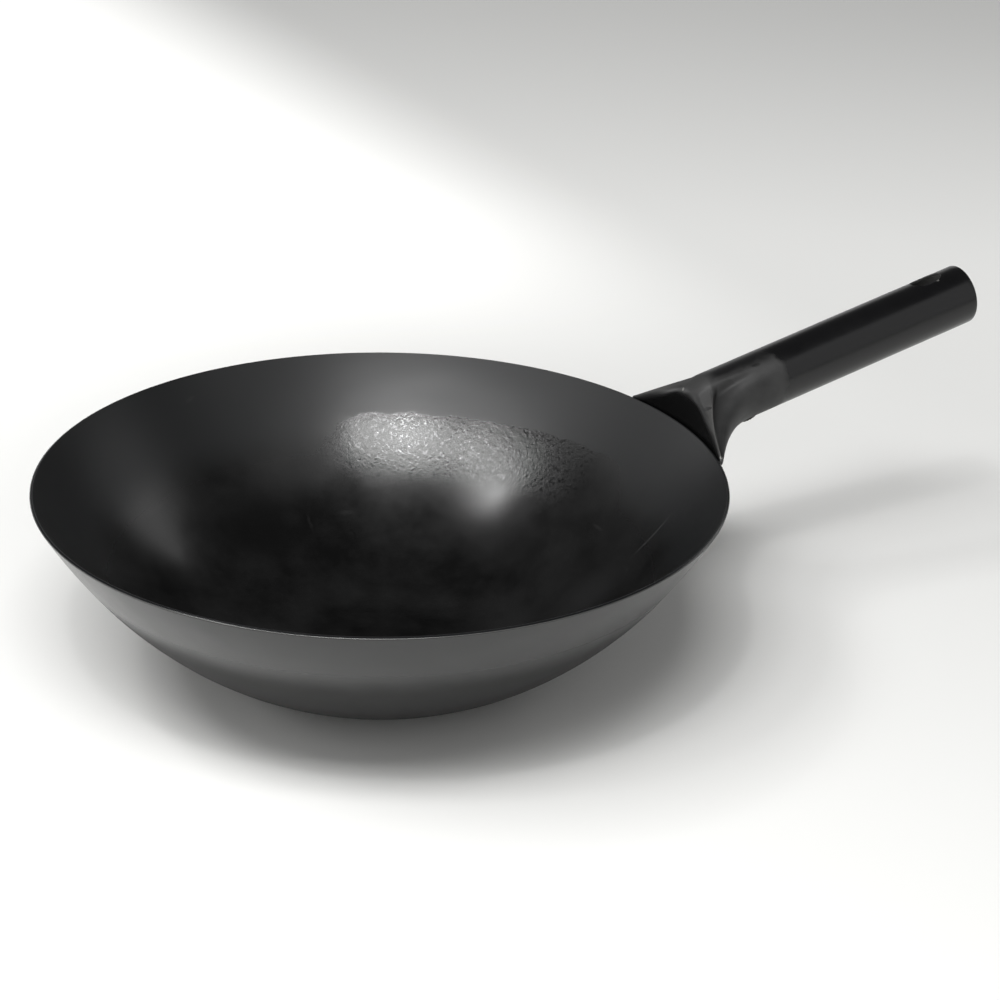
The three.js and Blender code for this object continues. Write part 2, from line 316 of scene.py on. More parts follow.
@dataclass(frozen=True)
class SeasonedIron:
    """Sheet iron burnt black and seasoned with oil: the cooking face.

    Heat has baked the oil to a hard black film, which ends in a ragged line below the rim. On one side, where
    the oil ran thick, it is wrinkled, so that a light breaks up into glints there. The clean band above is
    blued iron with an even, softer gloss.
    """

    film: str = "#040404"
    ash: str = "#151515"
    soot: str = "#030303"
    band: str = "#0f1011"
    bare: str = "#a7a6a3"
    stain: str = "#0c0c0c"
    fleck: str = "#191919"
    scratched: str = "#2a2a2a"
    cloud: Grain = Grain(42.0, detail=5.0, roughness=0.6)
    ash_clouds: tuple[float, float] = (0.38, 0.66)
    dull_clouds: tuple[float, float] = (0.3, 0.75)
    film_roughness: tuple[float, float] = (0.18, 0.27)
    wall_roughness: float = 0.268
    wall_from: float = 110.0
    wall_full: float = 134.0
    soot_angle: float = -22.0
    soot_spread: float = 34.0
    soot_fade: float = 12.0
    band_roughness: float = 0.38
    band_radius: float = 146.0
    band_edge: float = 0.5
    band_fade: float = 16.0
    band_ragged: float = 1.6
    ragged: Grain = Grain(12.0, detail=3.0, roughness=0.6)
    thick_angle: float = 43.0
    thick_spread: float = 30.0
    thick_fade: float = 12.0
    wrinkle: Grain = Grain(2.8, detail=3.0, roughness=0.55, distortion=0.6)
    wrinkle_height: float = 0.12
    wrinkle_roughness: float = 0.265
    wrinkle_from: float = 119.0
    wrinkle_full: float = 130.0
    wrinkle_spread: float = 18.0
    wrinkle_fade: float = 26.0
    glint: Grain = Grain(2.2, detail=1.0, distortion=1.2)
    glint_share: tuple[float, float] = (0.53, 0.66)
    glint_roughness: float = 0.09
    crease: Grain = Grain(1.4)
    crease_stretch: float = 0.5
    crease_height: float = 0.7
    stain_roughness: float = 0.26
    stain_ragged: float = 1.6
    stain_soft: float = 0.7
    stains: tuple[Mark, ...] = (
        Mark(107, 96, 8.0, 10.5), Mark(106.4, 79, 2.5, 8.0), Mark(103.7, 90.5, 7.5, 1.4),
        Mark(69.7, 58.8, 3, 6))
    pool: Mark = Mark(107, 105, 28, 50)
    pool_soft: float = 0.6
    pits: tuple[Mark, ...] = (
        Mark(107, 96, 3.2, 4.4), Mark(102.6, 87.6, 1.5, 2.2), Mark(95.4, 89.7, 1.4, 3.0),
        Mark(96, 78, 5.5, 1.3, 30), Mark(94.2, 81.5, 1.3, 6))
    pit_soft: float = 0.4
    flecks: tuple[Mark, ...] = (
        Mark(123.5, 4.5, 1.2, 8), Mark(121.5, -17, 1.4, 2.6), Mark(99.5, 41.6, 1.2, 4.5, 20),
        Mark(157.6, 109, 1.0, 6, 8))
    scratch: Mark = Mark(135.2, -13.8, 17, 1.1)
    fleck_soft: float = 0.5

    def material(self) -> Material:
        """Build the material of the cooking face.

        Returns:
            The material.
        """
        material, shader = new_material("Seasoned beaten iron")
        tree = material.node_tree
        add = partial(add_node, tree)
        place = add("ShaderNodeTexCoord").outputs["Object"]
        flat = add("ShaderNodeVectorMath", {0: place, 1: (1, 1, 0)}, operation="MULTIPLY").outputs[0]
        radius = add("ShaderNodeVectorMath", {0: flat}, operation="LENGTH").outputs["Value"]
        outwards = add("ShaderNodeVectorMath", {0: flat}, operation="NORMALIZE").outputs[0]
        # Bare metal on the rim's ring, partly a rub and partly a painted highlight line.
        wear_and_glints = add("ShaderNodeAttribute", attribute_name="wear_and_glints").outputs["Fac"]
        beside, rippled, sooty = (self.sector(tree, outwards, *sizes) for sizes in (
            (self.thick_angle, self.thick_spread, self.thick_fade),
            (self.thick_angle, self.wrinkle_spread, self.wrinkle_fade),
            (self.soot_angle, self.soot_spread, self.soot_fade)))

        # The film's upper end: a crisp ragged line where the oil ran thick, and a soft fade elsewhere.
        ragged = add("ShaderNodeTexNoise", self.ragged.inputs(place)).outputs["Fac"]
        shift = add("ShaderNodeMapRange", {"Value": ragged, "To Min": -self.band_ragged * MM,
                                           "To Max": self.band_ragged * MM}).outputs[0]
        reach = add("ShaderNodeMath", {0: radius, 1: shift}, operation="ADD").outputs[0]
        start = add("ShaderNodeMix", {0: beside, 2: (self.band_radius - self.band_fade) * MM,
                                      3: (self.band_radius - self.band_edge) * MM}).outputs[0]
        band = add("ShaderNodeMapRange", {"Value": reach, "From Min": start,
                                          "From Max": (self.band_radius + self.band_edge) * MM},
                   interpolation_type="SMOOTHSTEP").outputs[0]
        rising = add("ShaderNodeMapRange", {"Value": reach, "From Min": self.wrinkle_from * MM,
                                            "From Max": self.wrinkle_full * MM},
                     interpolation_type="SMOOTHSTEP").outputs[0]
        apart, oily, below = (add("ShaderNodeMath", {0: 1.0, 1: share}, operation="SUBTRACT").outputs[0]
                              for share in (beside, sooty, band))
        thick = rising
        for share in (below, rippled, oily):
            thick = add("ShaderNodeMath", {0: thick, 1: share}, operation="MULTIPLY").outputs[0]

        # The real wrinkles are about half a millimetre apart; they are drawn coarser so that they show.
        wrinkle = add("ShaderNodeTexNoise", self.wrinkle.inputs(place)).outputs["Fac"]
        glint = add("ShaderNodeTexNoise", self.glint.inputs(place)).outputs["Fac"]
        glint = add("ShaderNodeMapRange", {"Value": glint, "From Min": self.glint_share[0],
                                           "From Max": self.glint_share[1]}).outputs[0]
        drawn = add("ShaderNodeVectorMath", {0: place, 1: (1, 1, self.crease_stretch)},
                    operation="MULTIPLY").outputs[0]
        crease = add("ShaderNodeTexNoise", self.crease.inputs(drawn)).outputs["Fac"]
        crease, height = (add("ShaderNodeMath", {0: share, 1: 0.5}, operation="SUBTRACT").outputs[0]
                          for share in (crease, wrinkle))
        steep = add("ShaderNodeMath", {0: glint, 1: self.crease_height}, operation="MULTIPLY").outputs[0]
        height = add("ShaderNodeMath", {0: crease, 1: steep, 2: height}, operation="MULTIPLY_ADD").outputs[0]
        height = add("ShaderNodeMath", {0: height, 1: thick}, operation="MULTIPLY").outputs[0]
        bump = add("ShaderNodeBump", {"Distance": self.wrinkle_height * MM, "Height": height}).outputs[0]

        stray = add("ShaderNodeMapRange", {"Value": wrinkle, "To Min": -self.stain_ragged * MM,
                                           "To Max": self.stain_ragged * MM}).outputs[0]
        ragged_flat = add("ShaderNodeVectorMath", {0: stray, 1: flat}, operation="ADD").outputs[0]
        stained = [stain.mask(tree, ragged_flat, self.stain_soft) for stain in self.stains]

        cloud = add("ShaderNodeTexNoise", self.cloud.inputs(place)).outputs["Fac"]
        ash = add("ShaderNodeMapRange", {"Value": cloud, "From Min": self.ash_clouds[0],
                                         "From Max": self.ash_clouds[1]}).outputs[0]
        colour = linear(self.film)
        for mask, paint in (
                (ash, self.ash), (band, self.band), (wear_and_glints, self.bare),
                *((mask, self.stain) for mask in stained),
                (self.pool.mask(tree, flat, self.pool_soft), self.soot),
                *((pit.mask(tree, ragged_flat, self.pit_soft), self.film) for pit in self.pits),
                *((fleck.mask(tree, flat, self.fleck_soft), self.fleck) for fleck in self.flecks),
                (self.scratch.mask(tree, flat, self.fleck_soft), self.scratched)):
            colour = add("ShaderNodeMix", {0: mask, 6: colour, 7: linear(paint)}, data_type="RGBA").outputs[2]

        wall = add("ShaderNodeMapRange", {"Value": radius, "From Min": self.wall_from * MM,
                                          "From Max": self.wall_full * MM},
                   interpolation_type="SMOOTHSTEP").outputs[0]
        dry = [add("ShaderNodeMath", {0: wall, 1: share}, operation="MULTIPLY").outputs[0]
               for share in (apart, sooty)]
        crisp = add("ShaderNodeMix", {0: glint, 2: self.wrinkle_roughness,
                                      3: self.glint_roughness}).outputs[0]
        roughness = add("ShaderNodeMapRange", {
            "Value": cloud, "From Min": self.dull_clouds[0], "From Max": self.dull_clouds[1],
            "To Min": self.film_roughness[0], "To Max": self.film_roughness[1]}).outputs[0]
        for mask, value in (
                *((mask, self.wall_roughness) for mask in dry), (thick, crisp), (band, self.band_roughness),
                *((mask, self.stain_roughness) for mask in stained)):
            roughness = add("ShaderNodeMix", {0: mask, 2: roughness, 3: value}).outputs[0]
        for socket, value in (("Base Color", colour), ("Metallic", wear_and_glints), ("Roughness", roughness),
                              ("Normal", bump)):
            tree.links.new(value, shader.inputs[socket])
        return material

    def sector(self, tree: NodeTree, outwards: NodeSocket, angle: float, spread: float,
               fade: float) -> NodeSocket:
        """Add the nodes that tell one side of the bowl from the rest.

        Args:
            tree: The finish's tree.
            outwards: Direction of the place from the bowl's axis.
            angle: Direction of the sector's middle.
            spread: Half of the sector's angle.
            fade: Angle in which it fades out on each side.

        Returns:
            A value of 1 in the sector and 0 beyond it.
        """
        turn = math.radians(angle)
        middle = (math.cos(turn), math.sin(turn), 0)
        towards = add_node(tree, "ShaderNodeVectorMath", {0: outwards, 1: middle},
                           operation="DOT_PRODUCT").outputs["Value"]
        return add_node(tree, "ShaderNodeMapRange", {
            "Value": towards, "From Min": math.cos(math.radians(spread + fade)),
            "From Max": math.cos(math.radians(spread))}, interpolation_type="SMOOTHSTEP").outputs[0]


@dataclass(frozen=True)
class OiledIron:
    """Sheet iron blued in the fire and wiped with oil: the outside of the bowl.

    The thin film of oil and scale is near black and evenly glossy, so the wall shows little but a soft mirror
    image of the floor, with smudges in the gloss. Below, where the flame licks it, the scale is burnt to a
    dull black. A drop of oil has dried to a dark ring.
    """

    scale: str = "#0f1011"
    burnt: str = "#0b0b0b"
    bare: str = "#a7a6a3"
    ring: str = "#030303"
    smudge: Grain = Grain(26.0, detail=4.0, roughness=0.55)
    gloss_smudges: tuple[float, float] = (0.3, 0.7)
    gloss: tuple[float, float] = (0.19, 0.27)
    burnt_roughness: float = 0.72
    burnt_full: float = 52.0
    burnt_end: float = 74.0
    burnt_drift: float = 4.0
    drop: Mark = Mark(131.3, -116.6, 5.4, 6.6)
    drop_soft: float = 0.35
    drop_middle: Mark = Mark(131.3, -116.6, 2.4, 3.2)
    middle_soft: float = 0.5

    def material(self) -> Material:
        """Build the material of the outside of the bowl.

        Returns:
            The material.
        """
        material, shader = new_material("Oil-blackened sheet iron")
        tree = material.node_tree
        add = partial(add_node, tree)
        place = add("ShaderNodeTexCoord").outputs["Object"]
        flat = add("ShaderNodeVectorMath", {0: place, 1: (1, 1, 0)}, operation="MULTIPLY").outputs[0]
        height = add("ShaderNodeSeparateXYZ", {0: place}).outputs["Z"]
        # Bare metal on the rim's ring, partly a rub and partly a painted highlight line.
        wear_and_glints = add("ShaderNodeAttribute", attribute_name="wear_and_glints").outputs["Fac"]
        smudge = add("ShaderNodeTexNoise", self.smudge.inputs(place)).outputs["Fac"]
        drift = add("ShaderNodeMapRange", {"Value": smudge, "To Min": -self.burnt_drift * MM,
                                           "To Max": self.burnt_drift * MM}).outputs[0]
        level = add("ShaderNodeMath", {0: height, 1: drift}, operation="ADD").outputs[0]
        burnt = add("ShaderNodeMapRange", {"Value": level, "From Min": self.burnt_full * MM,
                                           "From Max": self.burnt_end * MM, "To Min": 1.0, "To Max": 0.0},
                    interpolation_type="SMOOTHSTEP").outputs[0]
        ring = add("ShaderNodeMath", {0: self.drop.mask(tree, flat, self.drop_soft),
                                      1: self.drop_middle.mask(tree, flat, self.middle_soft)},
                   operation="SUBTRACT").outputs[0]
        colour = linear(self.scale)
        for mask, paint in ((burnt, self.burnt), (wear_and_glints, self.bare), (ring, self.ring)):
            colour = add("ShaderNodeMix", {0: mask, 6: colour, 7: linear(paint)}, data_type="RGBA").outputs[2]
        gloss = add("ShaderNodeMapRange", {
            "Value": smudge, "From Min": self.gloss_smudges[0], "From Max": self.gloss_smudges[1],
            "To Min": self.gloss[0], "To Max": self.gloss[1]}).outputs[0]
        roughness = add("ShaderNodeMix", {0: burnt, 2: gloss, 3: self.burnt_roughness}).outputs[0]
        for socket, value in (("Base Color", colour), ("Metallic", wear_and_glints), ("Roughness", roughness)):
            tree.links.new(value, shader.inputs[socket])
        return material


@dataclass(frozen=True)
class StovedLacquer:
    """Black lacquer stoved on rolled steel: the handle.

    It is smooth and deep black with a soft gloss. Towards the bowl the welding heat has dulled its outer face
    to a cloudy smoke grey, furthest along the side, and the sheet's cut edges are scuffed towards bare steel.
    Colour also paints light and shade on it: a dark streak of painted shade along the top of the tube in the
    smoke, painted shade in the groove beside the ridge, a lighter painted sheen on top of the crown, and bare
    spots that make painted glints. The root's apron is painted a deeper black, with no smoke over it, as
    painted shade at the dark end of the root.
    """

    lacquer: str = "#080809"
    smoke: str = "#252525"
    soot: str = "#131313"
    # A lighter grey on the upward-facing top of the crown: a painted sheen.
    crown_sheen: str = "#2e2e2e"
    # A deeper black than the lacquer, on the root's apron: painted shade at the dark end of the root.
    apron: str = "#030303"
    inside: str = "#2a2a2a"
    # Painted shade in the groove beside the ridge; the nicks take the same dark colour.
    crease: str = "#060606"
    bare: str = "#8d8c89"
    cloud: Grain = Grain(13.0, detail=4.0, roughness=0.55)
    cloud_drift: float = 9.0
    gloss_clouds: tuple[float, float] = (0.3, 0.7)
    gloss: tuple[float, float] = (0.2, 0.27)
    apron_gloss: float = 0.26
    inside_roughness: float = 0.7
    bare_roughness: float = 0.5
    smoke_roughness: float = 0.5
    smoke_clouds: tuple[float, float] = (0.32, 0.62)
    smoke_reach: float = 45.0
    smoke_edge: float = 2.5
    smoke_lean: float = 9.0
    smoke_angle: float = -62.0
    # Less smoke along the top of the tube gives a dark streak there: a painted shade.
    top_shade_from: float = 0.5
    top_shade_full: float = 0.78
    top_shade_smoke: float = 0.25
    crown_from: float = 13.0
    crown_end: float = 23.0
    sheen_from: float = -0.15
    sheen_full: float = 0.5

    def material(self, tube: Matrix, tube_radius: float, nicks: list[Spot], bare_highlights: list[Spot]) -> Material:
        """Build the material of the handle.

        Args:
            tube: Frame of the handle's tube, in millimetres, with +X along it and +Z to its top.
            tube_radius: Radius of the tube.
            nicks: Dark marks in the smoke.
            bare_highlights: Bare steel spots that make painted glints.

        Returns:
            The material.
        """
        material, shader = new_material("Stoved black lacquer on rolled steel")
        tree = material.node_tree
        add = partial(add_node, tree)
        place = add("ShaderNodeTexCoord").outputs["Object"]
        wear_and_glints, outer, apron, groove_shade = (add("ShaderNodeAttribute", attribute_name=name).outputs["Fac"]
                                       for name in ("wear_and_glints", "outer_face", "apron", "groove_shade"))
        turn = math.radians(self.smoke_angle)
        sine, cosine = math.sin(turn), math.cos(turn)
        from_root = add("ShaderNodeVectorMath", {0: place, 1: tube.to_translation() * MM},
                        operation="SUBTRACT").outputs[0]
        station, facing, upper = (
            add("ShaderNodeVectorMath", {0: from_root, 1: tube.to_3x3() @ Vector(axis)},
                operation="DOT_PRODUCT").outputs["Value"]
            for axis in ((1, 0, 0), (0, sine, cosine), (0, cosine, -sine)))

        # The smoke ends in a cloudy line across the tube. Along the tube's upper side it is thinned to a dark
        # streak, a painted shade, except near the crown.
        cloud = add("ShaderNodeTexNoise", self.cloud.inputs(place)).outputs["Fac"]
        drift = add("ShaderNodeMapRange", {"Value": cloud, "To Min": -self.cloud_drift * MM,
                                           "To Max": self.cloud_drift * MM}).outputs[0]
        lean = add("ShaderNodeMath", {0: facing, 1: -self.smoke_lean / tube_radius, 2: drift},
                   operation="MULTIPLY_ADD").outputs[0]
        reach = add("ShaderNodeMath", {0: station, 1: lean}, operation="ADD").outputs[0]
        smoke = add("ShaderNodeMapRange", {
            "Value": reach, "From Min": (self.smoke_reach - self.smoke_edge) * MM,
            "From Max": (self.smoke_reach + self.smoke_edge) * MM, "To Min": 1.0, "To Max": 0.0},
            interpolation_type="SMOOTHSTEP").outputs[0]
        upper = add("ShaderNodeMath", {0: upper, 1: drift}, operation="ADD").outputs[0]
        top_shaded_smoke = add("ShaderNodeMapRange", {
            "Value": upper, "From Min": self.top_shade_from * tube_radius * MM,
            "From Max": self.top_shade_full * tube_radius * MM, "To Min": 1.0, "To Max": self.top_shade_smoke},
            interpolation_type="SMOOTHSTEP").outputs[0]
        crown = add("ShaderNodeMapRange", {"Value": station, "From Min": self.crown_from * MM,
                                           "From Max": self.crown_end * MM, "To Min": 1.0, "To Max": 0.0},
                    interpolation_type="SMOOTHSTEP").outputs[0]
        top_shaded_smoke = add("ShaderNodeMath", {0: top_shaded_smoke, 1: crown}, operation="MAXIMUM").outputs[0]
        open_face = add("ShaderNodeMath", {0: 1.0, 1: apron}, operation="SUBTRACT").outputs[0]
        for share in (top_shaded_smoke, outer, open_face):
            smoke = add("ShaderNodeMath", {0: smoke, 1: share}, operation="MULTIPLY").outputs[0]

        haze = add("ShaderNodeMapRange", {"Value": cloud, "From Min": self.smoke_clouds[0],
                                          "From Max": self.smoke_clouds[1]}).outputs[0]
        # Painted sheen: the upward-facing top of the crown is painted a lighter grey.
        sheen_on_crown = add("ShaderNodeMapRange", {"Value": upper, "From Min": self.sheen_from * tube_radius * MM,
                                           "From Max": self.sheen_full * tube_radius * MM},
                    interpolation_type="SMOOTHSTEP").outputs[0]
        sheen_on_crown = add("ShaderNodeMath", {0: sheen_on_crown, 1: crown}, operation="MULTIPLY").outputs[0]
        nicked = [nick.mask(tree, place) for nick in nicks]
        for mask in nicked:
            wear_and_glints = add("ShaderNodeMath", {0: wear_and_glints, 1: mask}, operation="SUBTRACT", use_clamp=True).outputs[0]
        # Bare steel spots that make painted glints.
        for spot in bare_highlights:
            wear_and_glints = add("ShaderNodeMath", {0: wear_and_glints, 1: spot.mask(tree, place)}, operation="MAXIMUM").outputs[0]
        grey = linear(self.soot)
        # Over the smoke: a painted sheen on top of the crown, and painted shade in the groove beside the
        # ridge.
        for mask, paint in ((haze, self.smoke), (sheen_on_crown, self.crown_sheen), (groove_shade, self.crease)):
            grey = add("ShaderNodeMix", {0: mask, 6: grey, 7: linear(paint)}, data_type="RGBA").outputs[2]
        # The apron's deeper black, with no smoke over it, is painted shade at the dark end of the root.
        colour = linear(self.inside)
        for mask, paint in (
                (outer, linear(self.lacquer)), (apron, linear(self.apron)), (smoke, grey),
                *((mask, linear(self.crease)) for mask in nicked), (wear_and_glints, linear(self.bare))):
            colour = add("ShaderNodeMix", {0: mask, 6: colour, 7: paint}, data_type="RGBA").outputs[2]

        gloss = add("ShaderNodeMapRange", {
            "Value": cloud, "From Min": self.gloss_clouds[0], "From Max": self.gloss_clouds[1],
            "To Min": self.gloss[0], "To Max": self.gloss[1]}).outputs[0]
        roughness = self.inside_roughness
        for mask, value in ((outer, gloss), (apron, self.apron_gloss), (smoke, self.smoke_roughness),
                            (wear_and_glints, self.bare_roughness)):
            roughness = add("ShaderNodeMix", {0: mask, 2: roughness, 3: value}).outputs[0]
        for socket, value in (("Base Color", colour), ("Metallic", wear_and_glints), ("Roughness", roughness)):
            tree.links.new(value, shader.inputs[socket])
        return material


@dataclass(frozen=True)
class WeldMetal:
    """Steel weld bead left as it cooled: dark oxide over rippled metal, with dull glints on the ripples."""

    oxide: str = "#2b2a29"
    metal: str = "#6f6d69"
    roughness: float = 0.42
    grain: Grain = Grain(1.6, detail=3.0)
    grain_height: float = 0.1

    def material(self) -> Material:
        """Build the material of the welds.

        Returns:
            The material.
        """
        material, shader = new_material("Oxidised steel weld bead")
        tree = material.node_tree
        add = partial(add_node, tree)
        place = add("ShaderNodeTexCoord").outputs["Object"]
        grain = add("ShaderNodeTexNoise", self.grain.inputs(place)).outputs["Fac"]
        colour = add("ShaderNodeMix", {0: grain, 6: linear(self.oxide), 7: linear(self.metal)},
                     data_type="RGBA").outputs[2]
        bump = add("ShaderNodeBump", {"Distance": self.grain_height * MM, "Height": grain}).outputs[0]
        tree.links.new(colour, shader.inputs["Base Color"])
        tree.links.new(bump, shader.inputs["Normal"])
        shader.inputs["Metallic"].default_value = 1.0
        shader.inputs["Roughness"].default_value = self.roughness
        return material


@dataclass
class Bowl:
    """The bowl: one sheet whose outer face is a chain of tangent arcs turned about the Z axis.

    Each arc ends at a radius, at a steepness from level.
    """

    sheet: float = 1.6
    wall: tuple[tuple[float, float], ...] = ((38, 0), (90, 31), (115.5, 41), (148.5, 55.2), (165, 61.3))
    sectors: int = 320
    inside_step: float = 1.25
    outside_step: float = 2.5
    foot_rings: int = 6
    edge_rise: float = 0.45
    corner_radius: float = 0.4
    corner_rings: int = 5
    # Bare metal on one ring of the rim: partly a rub, partly a painted highlight line.
    rim_rub_and_highlight: float = 0.32
    wave_size: float = 38.0
    wave_depth: float = 0.4
    dent_size: float = 13.0
    dent_depth: float = 0.06
    foot_end: float = 0.5
    dents_start: float = 8.0
    dents_end: float = 152.0
    rim_start: float = 162.0
    seed: float = 7.0

    @property
    def rim_radius(self) -> float:
        """Radius of the outer face at the rim."""
        return self.wall[-1][0]

    @property
    def rim_slope(self) -> float:
        """Steepness of the wall at the rim, in radians."""
        return math.radians(self.wall[-1][1])

    @cached_property
    def rim_height(self) -> float:
        """Height of the outer face at the rim."""
        return self.rings(0.0, self.outside_step)[-1][1]

    def rings(self, outside: float, step: float) -> list[tuple[float, float, float]]:
        """Follow one face of the sheet from the middle of the foot to the rim.

        Args:
            outside: Distance of the face outside the bowl's outer face; negative is inside.
            step: Greatest distance between rings along the wall.

        Returns:
            Radius, height and steepness in radians of each ring.
        """
        foot = self.wall[0][0]
        rings = [(foot * i / self.foot_rings, -outside, 0.0) for i in range(self.foot_rings)]
        height = 0.0
        for (start, low), (end, high) in pairwise(self.wall):
            low, high = math.radians(low), math.radians(high)
            bend = (end - start) / (math.sin(high) - math.sin(low))
            count = math.ceil(bend * (high - low) / step)
            for i in range(count):
                slope = blend(low, high, i / count)
                radius = start + bend * (math.sin(slope) - math.sin(low)) + outside * math.sin(slope)
                lift = height + bend * (math.cos(low) - math.cos(slope)) - outside * math.cos(slope)
                rings.append((radius, lift, slope))
            height += bend * (math.cos(low) - math.cos(high))
        slope = self.rim_slope
        rings.append((self.rim_radius + outside * math.sin(slope), height - outside * math.cos(slope), slope))
        return rings

    def wall_radius(self, below_rim: float) -> float:
        """Radius of the outer face a little below the rim."""
        return self.rim_radius - below_rim / math.tan(self.rim_slope)

    def edge(self) -> list[tuple[float, float, float]]:
        """Follow the sheet's sheared edge over the rim: a rounded corner, a flat and a rounded corner.

        Returns:
            Radius, height and steepness of each ring between the two faces.
        """
        slope = self.rim_slope
        half = self.sheet / 2
        middle = (self.rim_radius - half * math.sin(slope), self.rim_height + half * math.cos(slope))
        rings = []
        for side, start in ((1, 0.0), (-1, math.pi / 2)):
            for i in range(self.corner_rings):
                turn = start + math.pi / 2 * i / (self.corner_rings - 1)
                across = side * (half - self.corner_radius) + self.corner_radius * math.cos(turn)
                along = self.edge_rise + self.corner_radius * (math.sin(turn) - 1)
                rings.append((middle[0] + across * math.sin(slope) + along * math.cos(slope),
                              middle[1] - across * math.cos(slope) + along * math.sin(slope), slope))
        return rings

    def build(self) -> Object:
        """Turn the sheet's section about the axis.

        Returns:
            The bowl, with what its nodes and finish read marked on it.
        """
        outer = self.rings(0.0, self.outside_step)
        edge = self.edge()
        inner = self.rings(-self.sheet, self.inside_step)[::-1]
        section = [*outer, *edge, *inner][1:-1]
        turns = np.linspace(0, 2 * math.pi, self.sectors, endpoint=False)
        points = [Vector((radius * math.cos(t), radius * math.sin(t), height))
                  for radius, height, _ in section for t in turns]
        count = len(points)
        points += [Vector((0, 0, 0)), Vector((0, 0, self.sheet))]
        faces = []
        for ring in range(len(section) - 1):
            for i in range(self.sectors):
                j = (i + 1) % self.sectors
                low, high = ring * self.sectors, (ring + 1) * self.sectors
                faces.append((low + i, low + j, high + j, high + i))
        last = (len(section) - 1) * self.sectors
        for i in range(self.sectors):
            j = (i + 1) % self.sectors
            faces.append((count, j, i))
            faces.append((count + 1, last + i, last + j))
        bowl = new_piece("bowl", points, faces)

        outwards = [(math.sin(s) * math.cos(t), math.sin(s) * math.sin(t), -math.cos(s))
                    for _, _, s in section for t in turns] + [(0, 0, -1), (0, 0, -1)]
        mark = bowl.data.attributes.new("outwards", "FLOAT_VECTOR", "POINT")
        mark.data.foreach_set("vector", np.array(outwards, dtype=np.float32).ravel())
        middle = len(outer) - 1 + self.corner_rings
        # One ring of the rim, the last but one of its outer corner, is bare metal: partly a rub, partly a
        # painted highlight line.
        bare_highlights = middle - 2
        wear_and_glints = [self.rim_rub_and_highlight * (ring == bare_highlights) for ring in range(len(section)) for _ in turns]
        mark_points(bowl, "wear_and_glints", [*wear_and_glints, 0.0, 0.0])
        inside = [face[0] // self.sectors >= middle for face in faces[:-2 * self.sectors]]
        inside += [False, True] * self.sectors
        mark = bowl.data.attributes.new("cooking_face", "BOOLEAN", "FACE")
        mark.data.foreach_set("value", inside)
        return bowl

    def beat(self, bowl: Object, outside: Material, inside: Material) -> None:
        """Beat the turned sheet: broad waves and hammer marks that move both of its faces together.

        Args:
            bowl: The turned bowl.
            outside: Finish of the outer face.
            inside: Finish of the cooking face.
        """
        lengths = {
            "Wave size": self.wave_size, "Wave depth": self.wave_depth, "Dent size": self.dent_size,
            "Dent depth": self.dent_depth, "Foot end": self.foot_end, "Dents start": self.dents_start,
            "Dents end": self.dents_end, "Rim start": self.rim_start}
        tree, given, names = new_tree("Beaten sheet", {
            **dict.fromkeys(lengths, "NodeSocketFloat"), "Seed": "NodeSocketFloat",
            "Outside": "NodeSocketMaterial", "Cooking face": "NodeSocketMaterial"})
        add = partial(add_node, tree)
        place = add("GeometryNodeInputPosition").outputs[0]
        outwards = add("GeometryNodeInputNamedAttribute", {"Name": "outwards"},
                       data_type="FLOAT_VECTOR").outputs[0]
        flat = add("ShaderNodeVectorMath", {0: place, 1: (1, 1, 0)}, operation="MULTIPLY").outputs[0]
        radius = add("ShaderNodeVectorMath", {0: flat}, operation="LENGTH").outputs["Value"]
        height = add("ShaderNodeSeparateXYZ", {0: place}).outputs["Z"]

        moves = []
        for label in ("Wave", "Dent"):
            size, depth = (given.outputs[f"{label} {kind}"] for kind in ("size", "depth"))
            scale = add("ShaderNodeMath", {0: 1.0, 1: size}, operation="DIVIDE").outputs[0]
            rough = add("ShaderNodeTexNoise", {"Vector": place, "W": given.outputs["Seed"], "Scale": scale,
                                               "Detail": 0.0}, noise_dimensions="4D").outputs["Fac"]
            centred = add("ShaderNodeMath", {0: rough, 1: 0.5}, operation="SUBTRACT").outputs[0]
            moves.append(add("ShaderNodeMath", {0: centred, 1: depth}, operation="MULTIPLY").outputs[0])
        fade = add("ShaderNodeMapRange", {
            "Value": radius, "From Min": given.outputs["Dents end"], "From Max": given.outputs["Rim start"],
            "To Min": 1.0, "To Max": 0.0}, interpolation_type="SMOOTHSTEP").outputs[0]
        stand = add("ShaderNodeMapRange", {"Value": height, "From Min": given.outputs["Foot end"],
                                           "From Max": given.outputs["Dents start"]},
                    interpolation_type="SMOOTHSTEP").outputs[0]
        move = add("ShaderNodeMath", {0: moves[0], 1: moves[1]}, operation="ADD").outputs[0]
        for share in (fade, stand):
            move = add("ShaderNodeMath", {0: move, 1: share}, operation="MULTIPLY").outputs[0]
        offset = add("ShaderNodeVectorMath", {0: outwards, "Scale": move}, operation="SCALE").outputs[0]

        beaten = add("GeometryNodeSetPosition", {"Geometry": given.outputs["Geometry"],
                                                 "Offset": offset}).outputs[0]
        cooking = add("GeometryNodeInputNamedAttribute", {"Name": "cooking_face"},
                      data_type="BOOLEAN").outputs[0]
        real = add("GeometryNodeRealizeInstances", {"Geometry": beaten}).outputs[0]
        dressed = add("GeometryNodeSetMaterial", {"Geometry": real,
                                                  "Material": given.outputs["Outside"]}).outputs[0]
        dressed = add("GeometryNodeSetMaterial", {"Geometry": dressed, "Selection": cooking,
                                                  "Material": given.outputs["Cooking face"]}).outputs[0]
        add("NodeGroupOutput", {"Geometry": dressed})
        run_tree(bowl, tree, names, {
            **{label: length * MM for label, length in lengths.items()}, "Seed": self.seed,
            "Outside": outside, "Cooking face": inside})

    def make(self) -> Object:
        """Build, beat and seat the bowl.

        Returns:
            The finished bowl.
        """
        bowl = self.build()
        self.beat(bowl, OiledIron().material(), SeasonedIron().material())
        seat(bowl, "wok_bowl")
        return bowl


def from_top(angle: float) -> float:
    """The same angle round the tube, between -180 and 180 from its top."""
    return (angle + 180) % 360 - 180


